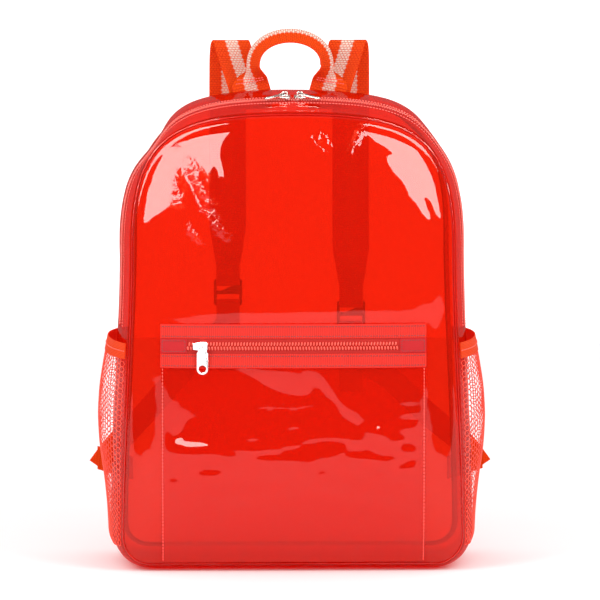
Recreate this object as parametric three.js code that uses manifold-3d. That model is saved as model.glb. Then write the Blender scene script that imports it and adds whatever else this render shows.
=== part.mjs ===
// Clear stadium backpack, in millimetres, +Z up. The front faces -Y, and the
// origin is the middle of the flat base on which the bag stands.
import * as THREE from 'three';
import { mergeVertices } from 'three/addons/utils/BufferGeometryUtils.js';
import Module from 'manifold-3d';

const wasm = await Module();
wasm.setup();

// Body
const bodyDepth = 128; // front seam to back seam
const seamTop = 410; // height of the seams at the crown
const baseSag = 6; // the base bulges this far below the seams
const lowHalfWidth = 152; // at the bottom corners
const highHalfWidth = 143.5; // where the shoulders begin
const shoulderHeight = 290;
const shoulderRise = 105; // pull of the curve up the side
const crownReach = 105; // pull of the curve along the top
const cornerRadius = 24;
const cornerPull = 66; // pull of the side's curve above a bottom corner
const wall = 1.2; // vinyl
const gap = 0.3; // between pieces that are sewn or pressed together
const frontDome = 18;
const backDome = 8;
const domeSoftShare = 0.25; // of a dome's rise that is spread evenly
const domeEdgePower = 10; // the rest rises close to the seam
const sideBulge = 14;
const crownBulge = 17;
const backInset = 3.8; // of the back seam from the front one, at the sides
const shoulderTuck = { left: 0.9, right: 0.4 }; // share of the bulge that the shoulders lack
const tuckHeight = 0.6; // of the outward normal, where a shoulder is tucked in most
const tuckSpread = 0.34;

// Main zip, with its place counted back from the front seam
const zipSetback = 32;
const zipTapeWidth = 13;
const zipEndHeight = 216;
const tapeThickness = 0.8;
const tapeSink = 0.2; // of the tape below the vinyl
const mainCoilWidth = 5.6;
const mainCoilHeight = 2;

// Front pocket
const pocketInset = 34; // of its sides from the bag's
const pocketHalfWidth = lowHalfWidth - pocketInset;
const pocketZipHeight = 205;
const pocketFoot = 3; // its lower edge above the bottom seam
const pocketSlack = 7; // how far the pocket stands off the panel
const bindingWidth = 12;
const bindingSpacing = 14.4; // clear space between the two bindings
const bindingThickness = 1.2;
const bindingLap = 2.2; // of each binding over the zip tape
const pocketCoilWidth = 5;
const pocketCoilHeight = 1.8;
const endTabLength = 23;
const endTabWidth = 12.6;
const endTabThickness = 1;
const pocketSliderInset = 35; // from the pocket's left side

// Net pockets on the sides
const netTop = 204;
const bandWidth = 13.5;
const netSwell = 13.5;
const netThickness = 1.2;
const netClear = 0.4; // between the gusset and the edges of the net
const netEdge = 0.03; // share of the depth that the net leaves free at each seam
const netPitch = 19;
const netHole = 6.4; // radius of a mesh of the net
const netRows = 8;
const netColumns = 4;
const netFirstRow = 52;
const netCornerStep = 4; // of the corner's steps, where the net begins

// Webbing
const webbingWidth = 32;
const webbingThickness = 1.8;
const handleHalfSpan = 33;
const handleHalfArch = 38.5;
const handleRise = 64; // crest above the back seam
const handleFold = 42; // degrees that each half of the folded webbing stands off the vertical
const foldStart = 0.18; // the fold begins and ends at these shares of the rise
const foldEnd = 0.5;
const foldShare = 0.26; // of the webbing's width that the fold bends
const footDepth = 8; // feet of handle and straps below the back seam
const strapFootPlace = 36;
const strapHangPlace = 56;
const strapRise = 51.5;
const strapStandOff = 38;
const strapNeckWidth = 20;
const strapTurn = 14; // above an adjuster's top bar, where the strap meets its own end
const strapReturn = 20; // length of that end
const neckTaper = 34; // over this height the strap narrows
const lowerStrapThickness = 1.4;
const adjusterHeights = { left: 232, right: 212 };
const adjusterStandOff = 20;
const adjusterHeight = 24;
const adjusterThickness = 4;
const adjusterBar = 3.2;
const adjusterRim = 2.6;
const looseStart = 12; // below an adjuster's bottom bar
const looseEnd = 62;
const looseSpread = 4;
const looseLean = 0.05;
const tabHeight = 74; // where the strap tabs leave the back seam
const tabReach = 24; // past the side seams
const tabFoot = 8; // inside them, on the back panel
const tabRise = 10;

// Zip sliders and pulls
const sliderLength = 10;
const sliderWing = 1.2;
const sliderPlate = 1.4;
const wingStart = 0.1; // of each side wing, in shares of the slider's length
const wingEnd = 0.42;
const bailLength = 5.4;
const bailOpening = 3;
const bailBar = 1.2;
const bailWidth = 1.6;
const sliderSpacing = 6.6; // of the two main sliders from the middle
const pullThickness = 1.2;
const pullYaw = 24;
const pullDroop = 5;
const pullBar = 1.3;
const pullBevel = 0.8;
const pullNeck = 0.62; // share of the pull's width
const mainPullLength = 20;
const mainPullWidth = 6.2;
const pullRim = 1;
const pocketSliderLength = 13;
const pocketPullLength = 25;
const pocketPullWidth = 10;
const pocketPullHole = 7;

// Fineness of the faceted walls
const rimSegments = 48;
const topSegments = 30;
const cornerSegments = 5;
const handleSegments = 40;
const strapSegments = 30;
const lowerStrapSegments = 16;
const frontShares = [1, 0.975, 0.94, 0.87, 0.75, 0.5, 0];
const backShares = [1, 0.95, 0.86, 0.55, 0];

const seamBottom = baseSag;
const frontSeam = -bodyDepth / 2;
const backSeam = bodyDepth / 2;
const sides = { left: -1, right: 1 };

// Cross-section of the gusset: how much of its bulge it has, by its share of
// the depth from the front seam, over the sides and top and along the base.
const bulgeRows = [
  { across: 0, arch: 0, base: 0 },
  { across: 0.05, arch: 0.24, base: 0.62 },
  { across: 0.12, arch: 0.42, base: 1 },
  { across: 0.2, arch: 0.63, base: 1 },
  { across: 0.3, arch: 0.79, base: 1 },
  { across: 0.42, arch: 0.93, base: 1 },
  { across: 0.56, arch: 1, base: 1 },
  { across: 0.72, arch: 0.94, base: 1 },
  { across: 0.88, arch: 0.7, base: 1 },
  { across: 0.95, arch: 0.36, base: 0.62 },
  { across: 1, arch: 0, base: 0 },
];

// How far a net pocket stands off, by its share of the height
const swellRows = [
  { up: 0, swell: 0.03 },
  { up: 0.16, swell: 0.16 },
  { up: 0.3, swell: 0.42 },
  { up: 0.45, swell: 0.8 },
  { up: 0.6, swell: 1 },
  { up: 0.75, swell: 0.97 },
  { up: 0.88, swell: 0.76 },
  { up: 1, swell: 0.52 },
];

// Shoulder strap over its top loop: lean from its foot's place to where it
// hangs, and shares of its stand-off and of its rise above the foot
const loopRows = [
  { lean: 0, back: 0, rise: 0 },
  { lean: 0.05, back: 0.05, rise: 0.16 },
  { lean: 0.28, back: 0.36, rise: 0.42 },
  { lean: 0.55, back: 0.48, rise: 0.68 },
  { lean: 0.78, back: 0.53, rise: 0.93 },
  { lean: 0.86, back: 0.61, rise: 1 },
  { lean: 0.93, back: 0.7, rise: 0.96 },
  { lean: 0.98, back: 0.76, rise: 0.82 },
];

// and down the back, by its share of the way to the adjuster
const hangRows = [
  { down: 0, back: 0.84 },
  { down: 0.25, back: 0.95 },
  { down: 0.5, back: 1 },
  { down: 0.75, back: 0.9 },
];

// Lower strap from its tab to its adjuster: share of the way, and how far it
// strays from the straight line in shares of its width
const slopeRows = [
  { way: 0, out: 0.25, back: 0, up: -0.35 },
  { way: 0, out: 0, back: 0, up: 0 },
  { way: 0, out: -0.5, back: 0, up: 0.65 },
  { way: 0.35, out: 0, back: 0.3, up: 0 },
  { way: 0.7, out: 0, back: 0.3, up: 0 },
  { way: 1, out: 0.9, back: 0.25, up: -1.1 },
  { way: 1, out: 0, back: 0, up: 0 },
];

function readTable(rows, key, column, at) {
  let i = 1;
  while (i < rows.length - 1 && rows[i][key] < at) {
    i += 1;
  }
  const share = (at - rows[i - 1][key]) / (rows[i][key] - rows[i - 1][key]);
  return THREE.MathUtils.lerp(rows[i - 1][column], rows[i][column], THREE.MathUtils.clamp(share, 0, 1));
}

function steps(from, to, count) {
  return Array.from({ length: count + 1 }, (_, i) => from + ((to - from) * i) / count);
}

// Seam line of both panels, anticlockwise from the middle of the base
function seamLine() {
  const path = new THREE.Path();
  const flat = lowHalfWidth - cornerRadius;
  const cornerTop = seamBottom + cornerRadius;
  const lowPull = cornerTop + cornerPull;
  const highPull = shoulderHeight - cornerPull;
  const topPull = shoulderHeight + shoulderRise;
  path.moveTo(0, seamBottom);
  path.lineTo(flat, seamBottom);
  path.absarc(flat, cornerTop, cornerRadius, -Math.PI / 2, 0);
  path.bezierCurveTo(lowHalfWidth, lowPull, highHalfWidth, highPull, highHalfWidth, shoulderHeight);
  path.bezierCurveTo(highHalfWidth, topPull, crownReach, seamTop, 0, seamTop);
  path.bezierCurveTo(-crownReach, seamTop, -highHalfWidth, topPull, -highHalfWidth, shoulderHeight);
  path.bezierCurveTo(-highHalfWidth, highPull, -lowHalfWidth, lowPull, -lowHalfWidth, cornerTop);
  path.absarc(-flat, cornerTop, cornerRadius, Math.PI, 1.5 * Math.PI);
  path.lineTo(0, seamBottom);
  return path;
}

const seam = seamLine();
const seamLength = seam.getLength();

function seamPoint(share) {
  return seam.getPoint(THREE.MathUtils.euclideanModulo(share, 1));
}

function seamNormal(share) {
  const step = 0.0005;
  const along = seamPoint(share + step).sub(seamPoint(share - step)).normalize();
  return new THREE.Vector2(along.y, -along.x);
}

// Share of the seam line at a height on the right-hand side
function seamShareAt(height) {
  let low = 0;
  let high = 0.5;
  for (let i = 0; i < 40; i += 1) {
    const middle = (low + high) / 2;
    if (seamPoint(middle).y < height) {
      low = middle;
    } else {
      high = middle;
    }
  }
  return (low + high) / 2;
}

function sideShare(share, side) {
  return side > 0 ? share : 1 - share;
}

// Point of the rim at a share of the depth: the bag narrows a little to its back
function rimPoint(share, across) {
  const normal = seamNormal(share);
  const low = THREE.MathUtils.smoothstep(-normal.y, 0, 1);
  const top = THREE.MathUtils.smoothstep(normal.y, 0.75, 1);
  return seamPoint(share).addScaledVector(normal, -across * backInset * (1 - low) * (1 - top));
}

// The panels are measured by their share of the way from a hub to the rim.
const hubHeight = (seamTop + seamBottom) / 2;

function rimSamples(across) {
  return steps(0, 1, 360)
    .slice(1)
    .map((share) => rimPoint(share, across))
    .map(({ x, y }) => ({ angle: Math.atan2(y - hubHeight, x), reach: Math.hypot(x, y - hubHeight) }))
    .sort((a, b) => a.angle - b.angle);
}

const frontRim = rimSamples(0);
const backRim = rimSamples(1);

function rimShare(rim, x, z) {
  const angle = Math.atan2(z - hubHeight, x);
  return Math.hypot(x, z - hubHeight) / readTable(rim, 'angle', 'reach', angle);
}

function domeRise(share) {
  const soft = domeSoftShare * (1 - share ** 2);
  return soft + (1 - domeSoftShare) * (1 - share ** domeEdgePower);
}

const frontFace = frontSeam - gap - wall;
const backFace = backSeam + gap + wall;

function frontPoint(x, z) {
  return new THREE.Vector3(x, frontFace - frontDome * domeRise(rimShare(frontRim, x, z)), z);
}

function backPoint(x, z) {
  return new THREE.Vector3(x, backFace + backDome * domeRise(Math.min(1, rimShare(backRim, x, z))), z);
}

function gussetPoint(share, across) {
  const normal = seamNormal(share);
  const low = THREE.MathUtils.smoothstep(-normal.y, 0, 1);
  const high = THREE.MathUtils.smoothstep(normal.y, 0, 1);
  const towardsRight = THREE.MathUtils.smoothstep(normal.x, -0.5, 0.5);
  const tuck = THREE.MathUtils.lerp(shoulderTuck.left, shoulderTuck.right, towardsRight);
  const tucked = tuck * Math.exp(-(((normal.y - tuckHeight) / tuckSpread) ** 2));
  const height = baseSag * low + (crownBulge * high + sideBulge * (1 - low - high)) * (1 - tucked);
  const arch = readTable(bulgeRows, 'across', 'arch', across);
  const base = readTable(bulgeRows, 'across', 'base', across);
  const out = height * THREE.MathUtils.lerp(arch, base, low);
  const point = rimPoint(share, across).addScaledVector(normal, out);
  return new THREE.Vector3(point.x, frontSeam + across * bodyDepth, point.y);
}

// A skin is a surface with its outward normal.
function skin(at, step, turn) {
  const normal = (u, v) => {
    const alongU = at(u + step, v).sub(at(u - step, v));
    const alongV = at(u, v + step).sub(at(u, v - step));
    return alongU.cross(alongV).normalize().multiplyScalar(turn);
  };
  return { at, normal };
}

const gusset = skin(gussetPoint, 0.002, -1);
const front = skin(frontPoint, 0.5, 1);

// Geometry from points and triangles: shared corners merged, collapsed
// triangles dropped and the faces turned outwards
function solidFrom(points, triangles) {
  const raw = new THREE.BufferGeometry();
  raw.setAttribute('position', new THREE.Float32BufferAttribute(points.flatMap((p) => p.toArray()), 3));
  raw.setIndex(triangles.flat());
  const merged = mergeVertices(raw, 1e-4);
  const index = Array.from(merged.index.array);
  const kept = [];
  for (let i = 0; i < index.length; i += 3) {
    const [a, b, c] = index.slice(i, i + 3);
    if (a !== b && b !== c && c !== a) {
      kept.push([a, b, c]);
    }
  }
  const corner = (i) => new THREE.Vector3().fromBufferAttribute(merged.attributes.position, i);
  const volume = kept.reduce((sum, [a, b, c]) => sum + corner(a).dot(corner(b).cross(corner(c))), 0);
  merged.setIndex(kept.flatMap(([a, b, c]) => (volume > 0 ? [a, b, c] : [a, c, b])));
  return merged;
}

// Closed wall between two grids of points; a loop joins its last row to its first.
function wallBetween(outer, inner, loop = false) {
  const rows = outer.length;
  const columns = outer[0].length;
  const points = [...outer.flat(), ...inner.flat()];
  const at = (layer, i, j) => layer * rows * columns + (i % rows) * columns + j;
  const triangles = [];
  const quad = (a, b, c, d) => triangles.push([a, b, c], [a, c, d]);
  for (let i = 0; i < (loop ? rows : rows - 1); i += 1) {
    for (let j = 0; j < columns - 1; j += 1) {
      quad(at(0, i, j), at(0, i + 1, j), at(0, i + 1, j + 1), at(0, i, j + 1));
      quad(at(1, i, j), at(1, i, j + 1), at(1, i + 1, j + 1), at(1, i + 1, j));
    }
    const last = columns - 1;
    quad(at(0, i, 0), at(1, i, 0), at(1, i + 1, 0), at(0, i + 1, 0));
    quad(at(0, i, last), at(0, i + 1, last), at(1, i + 1, last), at(1, i, last));
  }
  for (let j = 0; j < columns - 1 && !loop; j += 1) {
    const last = rows - 1;
    quad(at(0, 0, j), at(0, 0, j + 1), at(1, 0, j + 1), at(1, 0, j));
    quad(at(0, last, j), at(1, last, j), at(1, last, j + 1), at(0, last, j + 1));
  }
  return solidFrom(points, triangles);
}

// Wall that follows a skin, from one distance off it to another
function shell(base, us, vs, low, high) {
  const grid = (offset) =>
    us.map((u) => vs.map((v) => base.at(u, v).addScaledVector(base.normal(u, v), offset(u, v))));
  return wallBetween(grid(high), grid(low));
}

function evenShell(base, us, vs, low, high) {
  return shell(base, us, vs, () => low, () => high);
}

// Flat band along a route, with its width at each point and the direction
// that its width lies near
function band(route, widths, thickness, lies = route.map(() => new THREE.Vector3(1, 0, 0))) {
  const last = route.length - 1;
  const ahead = route.map((_, i) =>
    route[Math.min(last, i + 1)].clone().sub(route[Math.max(0, i - 1)]).normalize(),
  );
  const across = ahead.map((along, i) =>
    lies[i].clone().addScaledVector(along, -along.dot(lies[i])).normalize(),
  );
  const layer = (side) =>
    route.map((point, i) => {
      const off = ahead[i].clone().cross(across[i]).multiplyScalar((side * thickness) / 2);
      const middle = point.clone().add(off);
      return [-0.5, 0.5].map((edge) => middle.clone().addScaledVector(across[i], edge * widths[i]));
    });
  return wallBetween(layer(1), layer(-1));
}

function mesh(name, geometry, look) {
  const result = new THREE.Mesh(geometry, new THREE.MeshStandardMaterial(look));
  result.name = name;
  return result;
}

const looks = {
  vinyl: () => ({ color: 0xe8200f, roughness: 0.08, metalness: 0 }),
  webbing: () => ({ color: 0xff5a14, roughness: 0.75, metalness: 0 }),
  net: () => ({ color: 0xfa5a41, roughness: 0.6, metalness: 0 }),
  binding: () => ({ color: 0xff4b3c, roughness: 0.7, metalness: 0 }),
  endTab: () => ({ color: 0xe12d3c, roughness: 0.7, metalness: 0 }),
  coil: () => ({ color: 0xff5046, roughness: 0.4, metalness: 0 }),
  metal: () => ({ color: 0xd8d4ce, roughness: 0.22, metalness: 1 }),
  plastic: () => ({ color: 0x2a1512, roughness: 0.4, metalness: 0 }),
};

// Manifold solids, for the pieces that are joined or pierced
function toManifold(geometry) {
  const bare = geometry.clone();
  bare.deleteAttribute('normal');
  bare.deleteAttribute('uv');
  const merged = mergeVertices(bare, 1e-4);
  const vertProperties = new Float32Array(merged.attributes.position.array);
  const triVerts = new Uint32Array(merged.index.array);
  return new wasm.Manifold(new wasm.Mesh({ numProp: 3, vertProperties, triVerts }));
}

function fromManifold(solid) {
  const result = solid.getMesh();
  const geometry = new THREE.BufferGeometry();
  geometry.setAttribute('position', new THREE.BufferAttribute(result.vertProperties, 3));
  geometry.setIndex(Array.from(result.triVerts));
  return geometry;
}

function joined(geometries) {
  return fromManifold(geometries.map(toManifold).reduce((sum, next) => sum.add(next)));
}

function pierced(geometry, cutters) {
  const whole = toManifold(geometry);
  return fromManifold(cutters.map(toManifold).reduce((rest, next) => rest.subtract(next), whole));
}

function plate(shape, thickness, bottom) {
  const settings = { depth: thickness, bevelEnabled: false, curveSegments: 6 };
  return new THREE.ExtrudeGeometry(shape, settings).translate(0, 0, bottom);
}

// Shape that is the same on both sides of local X, from rows of [x, half width]
function evenShape(rows) {
  const edge = (side) => rows.map(([x, half]) => new THREE.Vector2(x, side * half));
  return new THREE.Shape([...edge(-1), ...edge(1).reverse()]);
}

function block(low, high) {
  const size = high.clone().sub(low);
  const middle = high.clone().add(low).multiplyScalar(0.5);
  return new THREE.BoxGeometry(size.x, size.y, size.z).translate(middle.x, middle.y, middle.z);
}

// Panels

function panel(face, dome, outwards, shares, across) {
  const stations = steps(0, 1, rimSegments).slice(0, -1);
  const grid = (offset) =>
    stations.map((station) =>
      shares.map((share) => {
        const rim = rimPoint(station, across);
        const y = face + outwards * (dome * domeRise(share) + offset);
        return new THREE.Vector3(rim.x * share, y, hubHeight + (rim.y - hubHeight) * share);
      }),
    );
  return wallBetween(grid(0), grid(-wall), true);
}

function panels() {
  return [
    mesh('front_panel', panel(frontFace, frontDome, -1, frontShares, 0), looks.vinyl()),
    mesh('back_panel', panel(backFace, backDome, 1, backShares, 1), looks.vinyl()),
  ];
}

// Gusset and main zip

const zipEnd = seamShareAt(zipEndHeight);
const seamGap = gap / seamLength;
const tapeFront = (zipSetback - zipTapeWidth / 2) / bodyDepth;
const tapeBack = (zipSetback + zipTapeWidth / 2) / bodyDepth;
const depthGap = gap / bodyDepth;
const zipMiddle = zipSetback / bodyDepth;
const tapeTop = -tapeSink;
const coilBottom = tapeTop + gap;
const coilTop = coilBottom + mainCoilHeight;
const bulgeStations = bulgeRows.map((row) => row.across);

function depthsBetween(from, to) {
  const closest = 0.015;
  const between = bulgeStations.filter((across) => across > from + closest && across < to - closest);
  return [from, ...between, to];
}

function topPieces() {
  const round = steps(zipEnd + seamGap, 1 - zipEnd - seamGap, topSegments);
  const coilReach = mainCoilWidth / 2 / bodyDepth;
  const coilDepths = [zipMiddle - coilReach, zipMiddle, zipMiddle + coilReach];
  const strip = (from, to) => evenShell(gusset, round, depthsBetween(from, to), -wall, 0);
  const coilEdge = coilBottom + mainCoilHeight / 2;
  const coilCrown = (_, across) => (across === zipMiddle ? coilTop : coilEdge);
  return [
    mesh('gusset_front_strip', strip(0, tapeFront - depthGap), looks.vinyl()),
    mesh('gusset_rear_strip', strip(tapeBack + depthGap, 1), looks.vinyl()),
    mesh(
      'main_zip_tape',
      evenShell(gusset, round, [tapeFront, zipMiddle, tapeBack], tapeTop - tapeThickness, tapeTop),
      looks.binding(),
    ),
    mesh('main_zip_coil', shell(gusset, round, coilDepths, () => coilBottom, coilCrown), looks.coil()),
  ];
}

const cornerStart = (lowHalfWidth - cornerRadius) / seamLength;
const cornerEnd = seamShareAt(seamBottom + cornerRadius);
const netLow = THREE.MathUtils.lerp(cornerStart, cornerEnd, netCornerStep / cornerSegments);
const netHigh = seamShareAt(netTop - bandWidth);
const bandLow = netHigh + seamGap;
const bandHigh = seamShareAt(netTop);
const sideStations = steps(cornerEnd, netHigh, 5).slice(1);
const lowerStations = [
  ...steps(0, cornerStart, 2),
  ...steps(cornerStart, cornerEnd, cornerSegments).slice(1),
  ...sideStations,
  bandHigh,
  zipEnd,
];

function lowerGusset() {
  const leftHalf = lowerStations.slice(1).reverse().map((share) => -share);
  return mesh(
    'lower_gusset',
    evenShell(gusset, [...leftHalf, ...lowerStations], bulgeStations, -wall, 0),
    looks.vinyl(),
  );
}

// Net pockets

const netDepths = [netEdge, ...bulgeStations.slice(1, -1), 1 - netEdge];

function netLift(share, across) {
  const up = (share - netLow) / (bandHigh - netLow);
  const swell = netSwell * readTable(swellRows, 'up', 'swell', up);
  return netClear + swell * (1 - Math.abs(2 * across - 1) ** 3);
}

function netCutters(side) {
  const angles = steps(0, 2 * Math.PI, 6).slice(1);
  const corners = angles.map((angle) => new THREE.Vector2(Math.sin(angle), Math.cos(angle)));
  const shape = new THREE.Shape(corners.map((corner) => corner.multiplyScalar(netHole)));
  const cutters = [];
  for (let row = 0; row < netRows; row += 1) {
    const columns = netColumns + (row % 2);
    for (let column = 0; column < columns; column += 1) {
      const y = (column - (columns - 1) / 2) * netPitch;
      const z = netFirstRow + row * netPitch * Math.sin(Math.PI / 3);
      const hole = plate(shape, 2 * netSwell + sideBulge, 0).rotateY((side * Math.PI) / 2);
      cutters.push(hole.translate(side * (lowHalfWidth - sideBulge / 2), y, z));
    }
  }
  return cutters;
}

function netPocket(name, side) {
  const corner = steps(cornerStart, cornerEnd, cornerSegments).slice(netCornerStep);
  const stations = [...corner, ...sideStations].map((share) => sideShare(share, side));
  const bandStations = [bandLow, bandHigh].map((share) => sideShare(share, side));
  const low = (share, across) => netLift(sideShare(share, side), across);
  const high = (share, across) => low(share, across) + netThickness;
  const sheet = shell(gusset, stations, netDepths, low, high);
  return [
    mesh(`side_net_${name}`, pierced(sheet, netCutters(side)), looks.net()),
    mesh(`net_band_${name}`, shell(gusset, bandStations, netDepths, low, high), looks.webbing()),
  ];
}

// Front pocket

const layerOne = 2 * gap; // next to the domed front panel
const layerTwo = layerOne + tapeThickness + gap; // over the zip tape
const layerThree = layerOne + wall + gap; // over the pocket panel
const tapeHalf = bindingSpacing / 2 + bindingLap;
const coilHalfLength = pocketHalfWidth - endTabLength - 1;

function pocketLift(x, z) {
  const side = 1 - (x / pocketHalfWidth) ** 4;
  const up = (z - seamBottom) / (pocketZipHeight - tapeHalf - seamBottom);
  return pocketSlack * Math.max(0, side) * THREE.MathUtils.clamp(4 * up * (1 - up), 0, 1);
}

function pocketPieces() {
  const columns = steps(-pocketHalfWidth, pocketHalfWidth, 10);
  const panelTop = pocketZipHeight - tapeHalf - gap;
  const lowerTop = pocketZipHeight - bindingSpacing / 2;
  const lowerBottom = lowerTop - bindingWidth;
  const panelRows = [0, 0.03, 0.08, 0.2, 0.4, 0.7, 1].map((share) =>
    THREE.MathUtils.lerp(seamBottom + pocketFoot, lowerBottom, share),
  );
  panelRows.push(panelTop);
  const panelLow = (x, z) => layerOne + pocketLift(x, z);
  const panelHigh = (x, z) => panelLow(x, z) + wall;
  const lowerRows = [lowerBottom, panelTop, lowerTop];
  const lowerLow = (x, z) => layerThree + pocketLift(x, z);
  const lowerHigh = (x, z) => lowerLow(x, z) + bindingThickness;
  const upperBottom = pocketZipHeight + bindingSpacing / 2;
  const upperRows = [upperBottom, upperBottom + bindingWidth];
  const tapeRows = [pocketZipHeight - tapeHalf, pocketZipHeight + tapeHalf];
  const coilEdge = layerTwo + pocketCoilHeight / 2;
  const coilCrown = (_, z) => (z === pocketZipHeight ? layerTwo + pocketCoilHeight : coilEdge);
  const coilRows = [-0.5, 0, 0.5].map((share) => pocketZipHeight + share * pocketCoilWidth);
  const coilColumns = steps(-coilHalfLength, coilHalfLength, 10);
  const pieces = [
    mesh('pocket_panel', shell(front, columns, panelRows, panelLow, panelHigh), looks.vinyl()),
    mesh('pocket_binding_lower', shell(front, columns, lowerRows, lowerLow, lowerHigh), looks.binding()),
    mesh(
      'pocket_binding_upper',
      evenShell(front, columns, upperRows, layerTwo, layerTwo + bindingThickness),
      looks.binding(),
    ),
    mesh(
      'pocket_zip_tape',
      evenShell(front, columns, tapeRows, layerOne, layerOne + tapeThickness),
      looks.binding(),
    ),
    mesh('pocket_zip_coil', shell(front, coilColumns, coilRows, () => layerTwo, coilCrown), looks.coil()),
  ];
  for (const [name, side] of Object.entries(sides)) {
    const tabColumns = steps(pocketHalfWidth - endTabLength, pocketHalfWidth, 2).map((x) => side * x);
    const tabRows = [-0.5, 0.5].map((share) => pocketZipHeight + share * endTabWidth);
    const tab = evenShell(front, tabColumns, tabRows, layerTwo, layerTwo + endTabThickness);
    pieces.push(mesh(`pocket_end_tab_${name}`, tab, looks.endTab()));
  }
  return pieces;
}

// Sliders: local X along the zip, local Z off it, with local zero on the skin

function slider(length, coilWidth, coilLow, coilHigh) {
  const inner = coilWidth / 2 + gap;
  const outer = inner + sliderWing;
  const under = coilHigh + gap;
  const top = under + sliderPlate;
  const shape = evenShape([
    [-length / 2, inner],
    [length * wingStart, outer],
    [length * wingEnd, outer],
    [length / 2, inner],
  ]);
  const wing = (side) => {
    const near = side * inner;
    const far = side * outer;
    const low = new THREE.Vector3(length * wingStart, Math.min(near, far), coilLow + gap);
    return block(low, new THREE.Vector3(length * wingEnd, Math.max(near, far), top - sliderPlate / 2));
  };
  return joined([plate(shape, sliderPlate, under), wing(-1), wing(1), bail(top)]);
}

// Bridge over the slider that its pull hangs from
function bail(top) {
  const sink = sliderPlate / 2;
  const half = bailLength / 2;
  const crest = top + bailOpening + bailBar;
  const shape = new THREE.Shape();
  shape.moveTo(-half, top - sink);
  shape.lineTo(-half, crest - bailBar);
  shape.lineTo(-half + bailBar, crest);
  shape.lineTo(half - bailBar, crest);
  shape.lineTo(half, crest - bailBar);
  shape.lineTo(half, top - sink);
  shape.lineTo(half - bailBar, top - sink);
  shape.lineTo(half - bailBar, crest - bailBar);
  shape.lineTo(bailBar - half, crest - bailBar);
  shape.lineTo(bailBar - half, top - sink);
  return plate(shape, bailWidth, -bailWidth / 2).rotateX(Math.PI / 2);
}

function bailMiddle(coilHigh) {
  return coilHigh + gap + sliderPlate + bailOpening / 2;
}

function roundHole(x, y, radius) {
  const hole = new THREE.Path();
  hole.absarc(x, y, radius, 0, 2 * Math.PI, true);
  return hole;
}

// Pull of a main slider, from its cross bar on local zero along local +X
function mainPullPlate() {
  const half = mainPullWidth / 2;
  const neck = half * pullNeck;
  const loopEnd = Math.hypot((bailLength + bailWidth) / 2, bailOpening / 2 + bailBar) + gap;
  const shape = new THREE.Shape();
  shape.moveTo(-pullBar / 2, -half + pullBevel);
  shape.lineTo(-pullBar / 2 + pullBevel, -half);
  shape.lineTo(loopEnd, -half);
  shape.lineTo(loopEnd + pullRim + pullBevel, -neck);
  shape.lineTo(mainPullLength - neck, -neck);
  shape.absarc(mainPullLength - neck, 0, neck, -Math.PI / 2, Math.PI / 2);
  shape.lineTo(loopEnd + pullRim + pullBevel, neck);
  shape.lineTo(loopEnd, half);
  shape.lineTo(-pullBar / 2 + pullBevel, half);
  shape.lineTo(-pullBar / 2, half - pullBevel);
  const loop = new THREE.Path();
  loop.moveTo(pullBar / 2, -half + pullRim);
  loop.lineTo(pullBar / 2, half - pullRim);
  loop.lineTo(loopEnd, half - pullRim);
  loop.lineTo(loopEnd, -half + pullRim);
  shape.holes.push(loop, roundHole(mainPullLength - neck, 0, neck - pullRim));
  return plate(shape, pullThickness, -pullThickness / 2);
}

// Pull of the pocket slider: an eye round one post of the bail, hanging along local -Y
function pocketPullPlate() {
  const eyeHole = Math.hypot(bailBar, bailWidth) / 2 + gap;
  const eye = eyeHole + pullRim;
  const half = pocketPullWidth / 2;
  const neck = half * 0.72;
  const top = -eye - pullRim;
  const shoulder = top - half * 0.6;
  const round = half - pocketPullLength;
  const shape = new THREE.Shape();
  shape.absarc(0, 0, eye, -0.15 * Math.PI, 1.15 * Math.PI);
  shape.lineTo(-neck, top);
  shape.lineTo(-half, shoulder);
  shape.lineTo(-half, round);
  shape.absarc(0, round, half, Math.PI, 2 * Math.PI);
  shape.lineTo(half, shoulder);
  shape.lineTo(neck, top);
  shape.holes.push(roundHole(0, 0, eyeHole), roundHole(0, round, pocketPullHole / 2));
  return plate(shape, pullThickness, -pullThickness / 2);
}

// Frame on a skin: local Z along its normal, local X near the world's
function seat(base, u, v) {
  const out = base.normal(u, v);
  const along = new THREE.Vector3(1, 0, 0).addScaledVector(out, -out.x).normalize();
  const holder = new THREE.Group();
  holder.position.copy(base.at(u, v));
  holder.setRotationFromMatrix(new THREE.Matrix4().makeBasis(along, out.clone().cross(along), out));
  return holder;
}

function mainSliders() {
  return Object.entries(sides).map(([name, side]) => {
    const holder = seat(gusset, 0.5 - (side * sliderSpacing) / seamLength, zipMiddle);
    const geometry = slider(sliderLength, mainCoilWidth, coilBottom, coilTop);
    const body = mesh(`main_slider_${name}`, geometry, looks.metal());
    const pull = mesh(`main_pull_${name}`, mainPullPlate(), looks.metal());
    const yaw = THREE.MathUtils.degToRad(pullYaw);
    body.rotation.z = side > 0 ? Math.PI : 0;
    pull.position.z = bailMiddle(coilTop);
    pull.rotation.set(0, THREE.MathUtils.degToRad(pullDroop), side > 0 ? -yaw : Math.PI + yaw, 'ZYX');
    holder.add(body, pull);
    return holder;
  });
}

function pocketSlider() {
  const holder = seat(front, pocketSliderInset - pocketHalfWidth, pocketZipHeight);
  const coilHigh = layerTwo + pocketCoilHeight;
  const geometry = slider(pocketSliderLength, pocketCoilWidth, layerTwo, coilHigh);
  const body = mesh('pocket_slider', geometry, looks.metal());
  const pull = mesh('pocket_pull', pocketPullPlate(), looks.metal());
  pull.position.set((bailLength - bailBar) / 2, 0, bailMiddle(coilHigh));
  holder.add(body, pull);
  return holder;
}

// Haul handle: webbing that lies flat at its feet and folds over lengthwise on the arch

const sectionStops = [-0.5, -0.28, -foldShare / 2, 0, foldShare / 2, 0.28, 0.5];

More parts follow.
